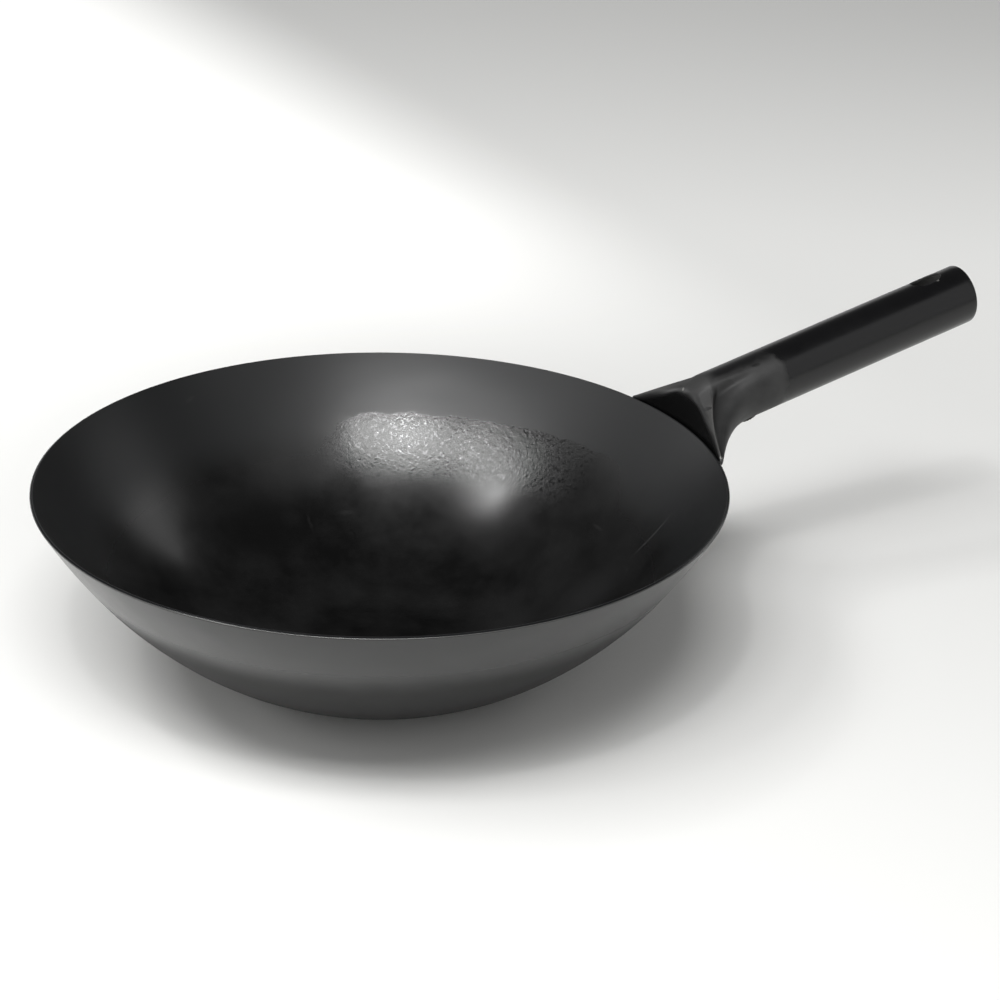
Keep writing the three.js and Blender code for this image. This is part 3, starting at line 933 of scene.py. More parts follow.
@dataclass
class Handle:
    """The handle: a fan of sheet rolled into a tube, its root spread into a fishtail over the rim.

    Angles run round the tube from its top, towards +Y. Stations run along it from the rim. The rolled sheet
    is turned a little about the tube's axis, slot and seam with it, and its sawn end is not quite square.
    """

    bowl: Bowl
    radius: float = 15.6
    sheet: float = 1.2
    length: float = 168.8
    rise: float = 15.2
    twist: float = 8.0
    axis_above_rim: float = 7.8
    end_skew: float = 1.5
    end_skew_angle: float = -18.0
    seam_start: float = 27.0
    seam_gap: float = 0.5
    slot_start: float = 142.2
    slot_end: float = 159.2
    slot_width: float = 11.0
    crown_angle: float = 40.0
    ridge_angle: float = 112.0
    fold_angle: float = 124.0
    crown_station: float = 12.4
    flare_top_station: float = 20.0
    flare_side_station: float = 33.0
    tip_radius: float = 166.8
    tip_half_width: float = 45.5
    tip_rise: float = 1.2
    tip_height: float = 3.4
    tip_bulge: float = 1 / 3
    brow_height: float = 19.0
    brow_fall: float = 1.35
    brow_hollow: float = 0.2
    brow_hollow_from: float = 0.2
    brow_hollow_full: float = 0.6
    brow_round: tuple[float, float] = (4.5, 3.6)
    brow_most: float = 0.9
    apron_stand: float = 0.4
    apron_drop: float = 0.8
    wall_overrun: float = 2.3
    trim_rounds: int = 30
    underside_drop: float = 8.4
    underside_full: float = 1 / 3
    fold_stand: float = 2.0
    arrive_sideways: float = 0.4
    crown_round: float = 13.0
    ridge_bow: float = 2.2
    bend_crown: float = 0.4
    bend_ridge: float = 0.09
    groove_from: float = 28.0
    groove_full: float = 48.0
    groove_depth: float = 2.9
    groove_steep: float = 0.62
    groove_gentle: tuple[float, float] = (19.0, 3.0)
    groove_tip_depth: float = 0.4
    groove_top_away: float = 4.6
    groove_tip_away: float = 1.7
    clearance: float = 0.3
    angle_step: float = 2.5
    station_step: float = 3.0
    apron_rows: int = 7
    brow_rows: int = 8
    bend_rows: int = 9
    flare_rows: int = 48
    flare_crowding: float = 1.5
    end_rows: int = 2
    slot_before: float = 5.0
    slot_after: float = 4.5
    slot_beside: float = 35.0
    slot_rings: tuple[float, ...] = (0.08, 0.25, 0.5, 0.75)
    edge_round: float = 0.3
    least_mitre: float = 0.3
    lip_wear: float = 0.25
    end_wear: float = 0.35
    crest_wear: float = 0.24
    crest_rows: int = 3
    dent_size: float = 24.0
    dent_depth: float = 0.12
    ridge_nick_angles: tuple[float, float] = (57.0, 52.0)
    ridge_nick_reach: tuple[float, float, float] = (2.8, 1.0, 2.2)
    ridge_nick_turn: float = -38.0
    side_nick_station: float = 40.0
    side_nick_angle: float = -28.0
    side_nick_reach: tuple[float, float, float] = (3.0, 1.2, 1.2)
    brow_glint_outside: float = 1.2
    brow_glint_across: float = 6.0
    brow_glint_below: float = 0.6
    brow_glint_reach: tuple[float, float, float] = (1.0, 1.0, 1.0)
    tip_glint_before: float = 2.0
    tip_glint_reach: tuple[float, float, float] = (1.2, 1.2, 1.2)
    slot_glint_before: float = 4.7
    slot_glint_across: float = -5.7
    slot_glint_inside: float = 0.1
    slot_glint_reach: tuple[float, float, float] = (1.0, 0.8, 1.0)

    @cached_property
    def place(self) -> Matrix:
        """Frame of the tube: its origin over the rim, +X along it and +Z to its top."""
        root = Matrix.Translation((self.bowl.rim_radius, 0, self.bowl.rim_height + self.axis_above_rim))
        return root @ Matrix.Rotation(-math.radians(self.rise), 4, "Y")

    @property
    def along(self) -> Vector:
        """Direction of the tube."""
        return self.place.to_3x3() @ Vector((1, 0, 0))

    def tube_point(self, station: float, angle: float, inside: float = 0.0) -> Vector:
        """Point on the tube, or a distance inside its skin.

        Args:
            station: Station along the tube.
            angle: Angle from the top of the tube.
            inside: Distance inside the outer face.

        Returns:
            The point.
        """
        turn = math.radians(angle)
        radius = self.radius - inside
        return self.place @ Vector((station, radius * math.sin(turn), radius * math.cos(turn)))

    def beside_rim(self, radius: float, across: float, above_rim: float) -> Vector:
        """Point at a radius from the bowl's axis, a distance to one side and a height over the rim."""
        along = math.sqrt(radius * radius - across * across)
        return Vector((along, across, self.bowl.rim_height + above_rim))

    def underside_point(self, share: float, outside: float) -> Vector:
        """Point under the fishtail, from the tip (share 0) to the middle (share 1).

        Args:
            share: How far from the tip to the middle.
            outside: Distance outside the bowl's wall; negative is behind it.

        Returns:
            The point, on the +Y side.
        """
        tip_below = self.tip_height - self.tip_rise
        below = tip_below + (self.underside_drop - tip_below) * math.sin(share * math.pi / 2)
        tip_outside = self.tip_radius - self.bowl.wall_radius(tip_below)
        if outside < 0:
            stand = outside
        else:
            stand = blend(tip_outside, outside, min(1.0, share / self.underside_full))
        across = self.tip_half_width * (1 - share)
        return self.beside_rim(self.bowl.wall_radius(below) + stand, across, -below)

    def fold_point(self, angle: float) -> Vector:
        """Fold of the root, with the corner between crown and ridge rounded off.

        Args:
            angle: Angle from the top of the tube, on the +Y side.

        Returns:
            The point of the fold.
        """
        low, high = self.crown_angle - self.crown_round, self.crown_angle + self.crown_round
        if not low < angle < high:
            return self.sharp_fold(angle)
        start, corner, end = (self.sharp_fold(stop) for stop in (low, self.crown_angle, high))
        share = (angle - low) / (high - low)
        return start.lerp(corner, share).lerp(corner.lerp(end, share), share)

    def near(self, point: Vector) -> Vector:
        """The same point on the left side of the handle."""
        return Vector((point.x, Side.LEFT.value * point.y, point.z))

    def under_share(self, angle: float) -> float:
        """How far an angle underneath is from the tip (share 0) to the middle (share 1)."""
        return (angle - self.fold_angle) / (180 - self.fold_angle)

    def sharp_fold(self, angle: float) -> Vector:
        """Fold of the root: over the crown, down the ridge to the tip, round it and back underneath.

        Args:
            angle: Angle from the top of the tube, on the +Y side.

        Returns:
            The point of the fold.
        """
        tip = self.beside_rim(self.tip_radius, self.tip_half_width, self.tip_rise)
        if angle <= self.crown_angle:
            return self.tube_point(self.crown_station, angle)
        if angle <= self.ridge_angle:
            share = (angle - self.crown_angle) / (self.ridge_angle - self.crown_angle)
            straight = self.tube_point(self.crown_station, self.crown_angle).lerp(tip, share)
            return straight - Vector((self.ridge_bow * math.sin(math.pi * share), 0, 0))
        if angle <= self.fold_angle:
            share = (angle - self.ridge_angle) / (self.fold_angle - self.ridge_angle)
            around = tip.lerp(self.underside_point(0.0, self.clearance), share)
            return around + Vector((0, self.tip_bulge * self.tip_height * math.sin(math.pi * share), 0))
        return self.underside_point(self.under_share(angle), self.fold_stand)

    def root_end(self, angle: float) -> tuple[Vector, Vector]:
        """Where the root ends at the bowl.

        Above, the sheet turns down at an arched brow into an upright apron, which closes the root and ends a
        little below the rim's edge. Underneath, it runs straight in to the wall.

        Args:
            angle: Angle from the top of the tube.

        Returns:
            The foot of the sheet, and the brow's corner or, underneath, a point halfway to the fold.
        """
        if angle <= self.ridge_angle:
            across = min(self.fold_point(angle).y, self.tip_half_width)
            share = across / self.tip_half_width
            hollow = self.brow_hollow * smoothstep(share, self.brow_hollow_from, self.brow_hollow_full)
            arch = (1 - share * share) ** self.brow_fall * (1 - hollow)
            height = blend(self.tip_rise, self.brow_height, arch)
            radius = self.bowl.rim_radius + self.apron_stand
            return self.beside_rim(radius, across, -self.apron_drop), self.beside_rim(radius, across, height)
        if angle < self.fold_angle:
            share = (angle - self.ridge_angle) / (self.fold_angle - self.ridge_angle)
            above, under = self.root_end(self.ridge_angle), self.root_end(self.fold_angle)
            return above[0].lerp(under[0], share), above[1].lerp(under[1], share)
        fold = self.fold_point(angle)
        behind = self.underside_point(self.under_share(angle), -self.wall_overrun)
        foot = self.trimmed(behind, fold)
        return foot, foot.lerp(fold, 0.5)

    def flare_station(self, angle: float) -> float:
        """Station where the tube starts to spread: late on top, early at the sides and underneath."""
        return blend(self.flare_top_station, self.flare_side_station, smoothstep(angle, 0, 90))

    def flare_point(self, angle: float, share: float) -> Vector:
        """Point on the smooth run from the tube (share 0) to the fold (share 1).

        Args:
            angle: Angle from the top of the tube, on the +Y side.
            share: How far along the run.

        Returns:
            The point.
        """
        start = self.tube_point(self.flare_station(angle), angle)
        end = self.fold_point(angle)
        chord = end - start
        leave = self.along * -chord.length
        arrive = chord - self.along * (self.arrive_sideways * chord.dot(self.along))
        t2 = share * share
        t3 = t2 * share
        return (start * (2 * t3 - 3 * t2 + 1) + leave * (t3 - 2 * t2 + share)
                + end * (3 * t2 - 2 * t3) + arrive * (t3 - t2))

    def clear_radius(self, height: float) -> float:
        """Least distance from the bowl's axis that the handle's sheet may come to at a height."""
        below = max(0.0, self.bowl.rim_height - height)
        return self.bowl.wall_radius(below) + self.clearance

    def clear_of_bowl(self, point: Vector) -> float:
        """How far a point stands clear of the bowl, sideways."""
        return math.hypot(point.x, point.y) - self.clear_radius(point.z)

    def trimmed(self, behind: Vector, outside: Vector) -> Vector:
        """Point between one behind the wall and one outside it where the sheet is trimmed to the bowl.

        Args:
            behind: The point behind the wall.
            outside: The point outside it.

        Returns:
            The nearest point between them that stands clear of the bowl.
        """
        low, high = 0.0, 1.0
        for _ in range(self.trim_rounds):
            middle = (low + high) / 2
            if self.clear_of_bowl(behind.lerp(outside, middle)) < 0:
                low = middle
            else:
                high = middle
        return behind.lerp(outside, high)

    def tube_stations(self) -> list[float]:
        """Stations of the rows along the plain tube, with the hanging slot between two of them.

        Returns:
            The stations, from the flare to the far side of the slot.
        """
        slot_from = self.slot_start - self.slot_before
        slot_to = self.slot_end + self.slot_after
        before = math.ceil((slot_from - self.flare_side_station) / self.station_step)
        beside = math.ceil((slot_to - slot_from) / self.station_step)
        return [*np.linspace(self.flare_side_station, slot_from, before, endpoint=False)[1:],
                *np.linspace(slot_from, slot_to, beside + 1)]

    def sheet_line(self, angle: float) -> list[Vector]:
        """One lengthwise line of the sheet's outer face, from its foot at the bowl to the open end.

        Args:
            angle: Angle from the top of the tube.

        Returns:
            The points of the line, one for each row.
        """
        angle = from_top(angle)
        turn = abs(angle)
        fold = self.fold_point(turn)
        foot, brow = self.root_end(turn)
        beside = smoothstep(turn, 0, self.crown_angle)
        bend = blend(self.bend_crown, self.bend_ridge, beside)
        before = self.flare_point(turn, 1 - bend)
        after = fold.lerp(brow, 2 * bend)
        size = blend(*self.brow_round, beside)
        below, above = (brow.lerp(end, min(self.brow_most, size / (end - brow).length))
                        for end in (foot, after))
        line = [foot.lerp(below, i / self.apron_rows) for i in range(self.apron_rows)]
        line += self.rounded(below, brow, above, self.brow_rows)
        line += self.rounded(after, fold, before, self.bend_rows)
        for i in range(self.flare_rows + 1):
            run = 1 - (i / self.flare_rows) ** self.flare_crowding
            line.append(self.flare_point(turn, (1 - bend) * run))
        if angle < 0:
            line = [self.near(point) for point in line]
        stations = self.tube_stations()
        line += [self.tube_point(station, angle) for station in stations]
        end = self.length + self.end_skew * math.cos(math.radians(angle - self.end_skew_angle))
        for i in range(self.end_rows):
            line.append(self.tube_point(blend(stations[-1], end, (i + 1) / self.end_rows), angle))
        return line

    def rounded(self, start: Vector, corner: Vector, end: Vector, rows: int) -> list[Vector]:
        """Points of a rounded corner, without the last one."""
        shares = [i / rows for i in range(rows)]
        return [start.lerp(corner, share).lerp(corner.lerp(end, share), share) for share in shares]

    def angles(self) -> list[float]:
        """Angles of the lines round the sheet, from one edge of the seam to the other.

        Returns:
            The angles, with a line at each bend of the root and at both sides of the slot.
        """
        half_gap = math.degrees(self.seam_gap / 2 / self.radius)
        seam = self.twist - 180
        reach = self.slot_beside
        stops = [seam + half_gap, -self.fold_angle, -self.ridge_angle, -self.crown_angle, self.twist - reach,
                 self.twist + reach, self.ridge_angle, self.fold_angle, 180, seam + 360 - half_gap]
        angles: list[float] = []
        for start, end in pairwise(stops):
            count = max(1, math.ceil((end - start) / self.angle_step))
            angles += [blend(start, end, i / count) for i in range(count)]
        return [*angles, stops[-1]]

    def skins(self) -> tuple[np.ndarray, np.ndarray]:
        """Both faces of the sheet, as grids of rows along the handle by lines round it.

        Returns:
            The outer and the inner face's points.
        """
        outer = np.array([[tuple(point) for point in self.sheet_line(angle)] for angle in self.angles()])
        outer = outer.transpose(1, 0, 2)
        lengthwise = np.gradient(outer, axis=0)
        wrapped = np.concatenate([outer[:, -1:], outer, outer[:, :1]], axis=1)
        around = wrapped[:, 2:] - wrapped[:, :-2]
        normal = np.cross(lengthwise, around)
        normal /= np.linalg.norm(normal, axis=2, keepdims=True)
        outer -= self.groove(outer)[..., None] * normal
        for row, line in np.ndindex(outer.shape[:2]):
            outer[row, line] = self.dented(Vector(outer[row, line]), Vector(normal[row, line]))
        inner = outer - self.sheet * normal
        for skin in (outer, inner):
            for point, angle in zip(skin[0], self.angles()):
                under = smoothstep(abs(from_top(angle)), self.ridge_angle, self.fold_angle)
                clear = self.clear_radius(point[2]) / math.hypot(point[0], point[1])
                point[:2] *= blend(1.0, clear, under)
        return outer, inner

    def groove(self, outer: np.ndarray) -> np.ndarray:
        """Depth of the groove that the press has left beside the ridge of the root, on each side.

        Args:
            outer: Points of the outer face, in rows along the handle by lines round it.

        Returns:
            The depth at each point.
        """
        depth = np.zeros(outer.shape[:2])
        first = self.apron_rows + self.brow_rows + self.bend_rows // 2
        for line, angle in enumerate(map(from_top, self.angles())):
            turn = abs(angle)
            if not self.groove_from < turn < self.ridge_angle:
                continue
            share = (turn - self.groove_from) / (self.ridge_angle - self.groove_from)
            away = blend(self.groove_top_away, self.groove_tip_away, share)
            fold = self.fold_point(turn)
            if angle < 0:
                fold = self.near(fold)
            distance = np.linalg.norm(outer[first:, line] - np.array(fold), axis=1)
            full = self.groove_depth * smoothstep(turn, self.groove_from, self.groove_full)
            full *= blend(1.0, self.groove_tip_depth, share * share)
            width = np.where(distance < away, self.groove_steep * away, blend(*self.groove_gentle, share))
            depth[first:, line] = full * np.exp(-((distance - away) / width) ** 2)
        return depth

    def slot_outline(self, station: float, across: float) -> tuple[float, float]:
        """Nearest point of the hanging slot's outline, in station and distance across the tube's top.

        Args:
            station: Station of a point beside the slot.
            across: Its distance across the tube's top.

        Returns:
            Station and distance across of the outline's point.
        """
        half = self.slot_width / 2
        core = min(max(station, self.slot_start + half), self.slot_end - half)
        away = math.hypot(station - core, across)
        return core + (station - core) * half / away, across * half / away

    def slot_point(self, station: float, across: float, inside: float) -> Vector:
        """Point of the tube's wall beside the slot."""
        turn = math.degrees(math.asin(across / (self.radius - inside)))
        return self.tube_point(station, turn + self.twist, inside)

    def build(self) -> Object:
        """Make the sheet's two faces, and close them along the lip, the seam, the open end and the slot.

        Returns:
            The handle.
        """
        outer, inner = self.skins()
        rows, lines = outer.shape[:2]
        skins = [[Vector(p) for p in skin.reshape(-1, 3)] for skin in (outer, inner)]

        def at(row: int, line: int) -> int:
            """Number of the outer face's point in a row and line."""
            return row * lines + line % lines

        slot_rows, slot_lines = self.slot_patch(rows)
        seam_row = self.seam_row(outer)
        skin: list[tuple[int, ...]] = []
        for row, line in np.ndindex(rows - 1, lines):
            in_seam = line == lines - 1 and row >= seam_row
            in_slot = slot_rows[0] <= row < slot_rows[1] and slot_lines[0] <= line < slot_lines[1]
            if not (in_seam or in_slot):
                skin.append((at(row, line), at(row + 1, line), at(row + 1, line + 1), at(row, line + 1)))

        (row_0, row_1), (line_0, line_1) = slot_rows, slot_lines
        around = [at(row_0, line) for line in range(line_0, line_1)]
        around += [at(row, line_1) for row in range(row_0, row_1)]
        around += [at(row_1, line) for line in range(line_1, line_0, -1)]
        around += [at(row, line_0) for row in range(row_1, row_0, -1)]
        slot = self.slot_rim(around, skins, skin)
        lip = [at(0, line) for line in reversed(range(lines))]
        end = [at(row, 0) for row in range(seam_row, rows)]
        end += [at(rows - 1, line) for line in range(1, lines)]
        end += [at(row, lines - 1) for row in range(rows - 2, seam_row - 1, -1)]

        shift = len(skins[0])
        points = skins[0] + skins[1]
        faces = skin + [tuple(corner + shift for corner in reversed(face)) for face in skin]
        wear_and_glints = [0.0] * len(points)
        brow = self.apron_rows + self.brow_rows // 2
        crest = self.apron_rows + self.brow_rows + self.bend_rows // 2
        for row, (line, angle) in product(range(brow, crest + self.crest_rows), enumerate(self.angles())):
            turn = abs(from_top(angle))
            if turn < self.ridge_angle:
                on_ridge = smoothstep(turn, self.crown_angle, self.crown_angle + 2 * self.crown_round)
                past = max(0, row - crest) / self.crest_rows
                wear_and_glints[at(row, line)] = self.crest_wear * on_ridge * (smoothstep(row, brow, crest) - past)
        for loop, wear in ((lip, self.lip_wear), (end, self.end_wear), (slot, 0.0)):
            self.close_edge(loop, shift, points, faces)
            wear_and_glints += [wear] * (len(points) - len(wear_and_glints))
        handle = new_piece("handle_sheet", points, faces)
        mark_points(handle, "wear_and_glints", wear_and_glints)
        mark_points(handle, "outer_face", [float(number < shift) for number in range(len(points))])
        apron = [1 - smoothstep(number // lines, self.apron_rows, self.apron_rows + self.brow_rows)
                 for number in range(rows * lines)]
        mark_points(handle, "apron", apron + [0.0] * (len(points) - len(apron)))
        # Depth of the groove, for the finish to paint shade into it.
        groove_shade = list(self.groove(outer).ravel() / self.groove_depth)
        mark_points(handle, "groove_shade", groove_shade + [0.0] * (len(points) - len(groove_shade)))
        drop_loose(handle)
        return handle

    def slot_patch(self, rows: int) -> tuple[tuple[int, int], tuple[int, int]]:
        """Rows and lines between which the hanging slot is let into the grid.

        Args:
            rows: Number of rows of the grid.

        Returns:
            First and last row, and first and last line.
        """
        stations = self.tube_stations()
        last = rows - self.end_rows - 1
        first = last + 1 - len(stations) + stations.index(self.slot_start - self.slot_before)
        beside = np.abs(np.array(self.angles()) - self.twist)
        left, right = np.flatnonzero(np.isclose(beside, self.slot_beside))
        return (first, last), (int(left), int(right))

    def seam_row(self, outer: np.ndarray) -> int:
        """Row of the grid at which the seam's two edges part.

        Args:
            outer: Points of the outer face, in rows along the handle by lines round it.

        Returns:
            The row nearest to the start of the seam.
        """
        stations = (outer[:, 0] - np.array(self.place.to_translation())) @ np.array(self.along)
        flare_start = self.apron_rows + self.brow_rows + self.bend_rows
        return flare_start + int(np.argmin(np.abs(stations[flare_start:] - self.seam_start)))

    def slot_rim(self, around: list[int], skins: list[list[Vector]],
                 skin: list[tuple[int, ...]]) -> list[int]:
        """Fill the grid in towards the hanging slot with rings of faces.

        Args:
            around: The grid's points round the slot, in order.
            skins: Points of the outer and the inner face, which grow by the rings.
            skin: Faces of the outer face, which grow by the rings.

        Returns:
            The points on the slot's own outline, in the same order.
        """
        to_tube = self.place.inverted()
        twist = math.radians(self.twist)
        ring = around
        for share in (*reversed(self.slot_rings), 0.0):
            inward = []
            for number in around:
                station, y, z = to_tube @ skins[0][number]
                across = y * math.cos(twist) - z * math.sin(twist)
                edge = self.slot_outline(station, across)
                inward.append(len(skins[0]))
                for side, points in enumerate(skins):
                    here = blend(edge[0], station, share), blend(edge[1], across, share)
                    point = self.slot_point(*here, side * self.sheet)
                    points.append(self.dented(point, point - self.tube_point(here[0], 0, self.radius)))
            for i, j in zip(range(len(ring)), [*range(1, len(ring)), 0]):
                skin.append((ring[j], ring[i], inward[i], inward[j]))
            ring = inward
        return ring

    def dented(self, point: Vector, outwards: Vector) -> Vector:
        """The point moved in by the shallow dents of a hand-rolled tube."""
        depth = self.dent_depth * (1 - noise.noise(point / self.dent_size)) / 2
        return point - outwards.normalized() * depth

    def close_edge(self, loop: list[int], shift: int, points: list[Vector],
                   faces: list[tuple[int, ...]]) -> None:
        """Close the sheet along one cut edge with a wall that has rounded corners.

        Args:
            loop: The outer face's points along the edge, with the sheet on their left.
            shift: Step from a point of the outer face to its partner on the inner one.
            points: All points; those of the edge are drawn back and the wall's are added.
            faces: All faces, which grow by the wall.
        """
        size = self.edge_round
        corner = 1 - math.sqrt(0.5)
        count = len(loop)
        ends = [(points[k].copy(), points[k + shift].copy()) for k in loop]
        strips = []
        for i, number in enumerate(loop):
            outer, inner = ends[i]
            through = (outer - inner).normalized()
            sides = []
            for step in (i, i + 1):
                along = ends[step % count][0] - ends[step - 1][0]
                sides.append(through.cross(along.normalized()))
            back = (sides[0] + sides[1]) / max(self.least_mitre, 1 + sides[0].dot(sides[1]))
            strip = [number]
            for move in (outer + size * corner * (back - through), outer - size * through,
                         inner + size * through, inner + size * corner * (back + through)):
                strip.append(len(points))
                points.append(move)
            points[number] = outer + size * back
            points[number + shift] = inner + size * back
            strips.append([*strip, number + shift])
        for i, strip in enumerate(strips):
            after = strips[(i + 1) % count]
            for (a, c), (b, d) in zip(pairwise(strip), pairwise(after)):
                faces.append((b, a, c, d))

    def nicks(self) -> list[Spot]:
        """Dark marks in the smoke: a nick across the left ridge and a smudge on the side of the tube.

        Returns:
            The marks.
        """
        fold_angle, brow_angle = self.ridge_nick_angles
        on_ridge = self.near(self.fold_point(fold_angle).lerp(self.root_end(brow_angle)[1], 0.5))
        on_side = self.tube_point(self.side_nick_station, self.side_nick_angle)
        return [Spot(on_ridge, self.ridge_nick_reach, self.ridge_nick_turn),
                Spot(on_side, self.side_nick_reach)]

    def bare_highlights(self) -> list[Spot]:
        """Bare steel spots that make painted glints: on the brow, at the left tip and in the slot's edge.

        Returns:
            The places.
        """
        on_brow = self.beside_rim(self.bowl.rim_radius + self.brow_glint_outside, self.brow_glint_across,
                                  self.brow_height - self.brow_glint_below)
        at_tip = self.near(self.fold_point(self.ridge_angle - self.tip_glint_before))
        in_slot = self.slot_point(self.slot_end - self.slot_glint_before, self.slot_glint_across,
                                  self.slot_glint_inside)
        return [Spot(on_brow, self.brow_glint_reach), Spot(at_tip, self.tip_glint_reach),
                Spot(in_slot, self.slot_glint_reach)]

    def make(self) -> Object:
        """Build, dress and seat the handle.

        Returns:
            The finished handle.
        """
        handle = self.build()
        lacquer = StovedLacquer().material(self.place, self.radius, self.nicks(), self.bare_highlights())
        handle.data.materials.append(lacquer)
        seat(handle, "handle")
        return handle


@dataclass
class Welds:
    """The welds: a fillet bead under each half of the fishtail, and a tack across the seam.

    A bead is a run of overlapping drops along a path, thinner at both ends.
    """

    handle: Handle
    bead_radius: float = 2.3
    bead_stand: float = 1.3
    from_tip: float = 0.08
    to_middle: float = 0.88
    path_points: int = 24
    ripple_pitch: float = 1.7
    ripple_depth: float = 0.12
    end_taper: float = 0.12
    end_blunt: float = 0.02
    tack_station: float = 31.5
    tack_length: float = 12.0
    tack_width: float = 8.0
    tack_depth: float = 1.1
    tack_taper: float = 0.5
    sides: int = 16
    step: float = 0.35

    def bead_tree(self) -> tuple[NodeTree, dict[str, str]]:
        """Build the tree that lays a weld bead along a path.

        Returns:
            The tree and the identifiers of its inputs.
        """
        tree, given, names = new_tree("Weld bead", {
            "Radius": "NodeSocketFloat", "Flatness": "NodeSocketFloat", "Ripple pitch": "NodeSocketFloat",
            "Ripple depth": "NodeSocketFloat", "End taper": "NodeSocketFloat", "End blunt": "NodeSocketFloat",
            "Step": "NodeSocketFloat", "Sides": "NodeSocketInt", "Metal": "NodeSocketMaterial"})
        add = partial(add_node, tree)
        path = add("GeometryNodeMeshToCurve", {"Mesh": given.outputs["Geometry"]}).outputs[0]
        path = add("GeometryNodeResampleCurve", {"Curve": path, "Length": given.outputs["Step"]},
                   mode="LENGTH").outputs[0]
        path = add("GeometryNodeSetCurveNormal", {"Curve": path}, mode="Z_UP").outputs[0]
        along = add("GeometryNodeSplineParameter")
        drop = add("ShaderNodeMath", {0: along.outputs["Length"], 1: given.outputs["Ripple pitch"]},
                   operation="DIVIDE").outputs[0]
        drop = add("ShaderNodeMath", {0: drop}, operation="FRACT").outputs[0]
        drop = add("ShaderNodeMath", {0: drop, 1: given.outputs["Ripple depth"]},
                   operation="MULTIPLY").outputs[0]
        full = add("ShaderNodeMath", {0: 1.0, 1: drop}, operation="SUBTRACT").outputs[0]
        near = add("ShaderNodeMath", {0: along.outputs["Factor"], 1: 0.5}, operation="PINGPONG").outputs[0]
        taper = add("ShaderNodeMath", {0: near, 1: given.outputs["End taper"]}, operation="DIVIDE",
                    use_clamp=True).outputs[0]
        round_end = add("ShaderNodeMath", {0: 1.0, 1: taper}, operation="SUBTRACT").outputs[0]
        round_end = add("ShaderNodeMath", {0: round_end, 1: 2.0}, operation="POWER").outputs[0]
        blunt = add("ShaderNodeMath", {0: 1.0, 1: given.outputs["End blunt"]}, operation="ADD").outputs[0]
        round_end = add("ShaderNodeMath", {0: blunt, 1: round_end}, operation="SUBTRACT").outputs[0]
        round_end = add("ShaderNodeMath", {0: round_end, 1: 0.5}, operation="POWER").outputs[0]
        full = add("ShaderNodeMath", {0: full, 1: round_end}, operation="MULTIPLY").outputs[0]
        scale = add("ShaderNodeMath", {0: full, 1: given.outputs["Radius"]}, operation="MULTIPLY").outputs[0]
        section = add("GeometryNodeCurvePrimitiveCircle", {"Resolution": given.outputs["Sides"],
                                                           "Radius": 1.0})
        shape = add("ShaderNodeCombineXYZ", {"X": 1.0, "Y": given.outputs["Flatness"], "Z": 1.0}).outputs[0]
        section = add("GeometryNodeTransform", {"Geometry": section.outputs[0], "Scale": shape}).outputs[0]
        bead = add("GeometryNodeCurveToMesh", {"Curve": path, "Profile Curve": section, "Scale": scale,
                                               "Fill Caps": True}).outputs[0]
        bead = add("GeometryNodeSetShadeSmooth", {"Geometry": bead}).outputs[0]
        real = add("GeometryNodeRealizeInstances", {"Geometry": bead}).outputs[0]
        dressed = add("GeometryNodeSetMaterial", {"Geometry": real,
                                                  "Material": given.outputs["Metal"]}).outputs[0]
        add("NodeGroupOutput", {"Geometry": dressed})
        return tree, names

    def root_path(self, side: Side) -> list[Vector]:
        """Path of the fillet bead under one half of the fishtail.

        Args:
            side: Side of the handle.

        Returns:
            The points of the path, from the tip to the middle.
        """
        path = []
        for share in np.linspace(self.from_tip, self.to_middle, self.path_points):
            point = self.handle.underside_point(float(share), self.bead_stand)
            path.append(Vector((point.x, side.value * point.y, point.z - self.bead_stand)))
        return path

    def tack_path(self) -> list[Vector]:
        """Path of the tack along the seam.

        Returns:
            The points of the path.
        """
        seam = self.handle.twist - 180
        return [self.handle.tube_point(self.tack_station + self.tack_length * share, seam)
                for share in np.linspace(-0.5, 0.5, self.path_points)]

    def make(self) -> list[Object]:
        """Lay, dress and seat the three welds.

        Returns:
            The finished welds.
        """
        tree, names = self.bead_tree()
        metal = WeldMetal().material()
        runs = []
        for side in Side:
            label = side.name.lower()
            runs.append((f"root_bead_{label}", f"root_weld_{label}", self.root_path(side), self.bead_radius,
                         1.0, self.end_taper))
        flat = 2 * self.tack_depth / self.tack_width
        runs.append(("seam_bead", "seam_tack", self.tack_path(), self.tack_width / 2, flat, self.tack_taper))
        welds = []
        for name, node, path, radius, flatness, taper in runs:
            weld = new_piece(name, path, [], list(pairwise(range(len(path)))))
            run_tree(weld, tree, names, {
                "Radius": radius * MM, "Flatness": flatness, "Ripple pitch": self.ripple_pitch * MM,
                "Ripple depth": self.ripple_depth, "End taper": taper, "End blunt": self.end_blunt,
                "Step": self.step * MM, "Sides": self.sides, "Metal": metal})
            seat(weld, node)
            welds.append(weld)
        return welds


def direction(azimuth: float, elevation: float) -> Vector:
    """Direction from the wok, with azimuth 0 towards -Y and 90 towards +X."""
    turn, lift = math.radians(azimuth), math.radians(elevation)
    return Vector((math.sin(turn) * math.cos(lift), -math.cos(turn) * math.cos(lift), math.sin(lift)))


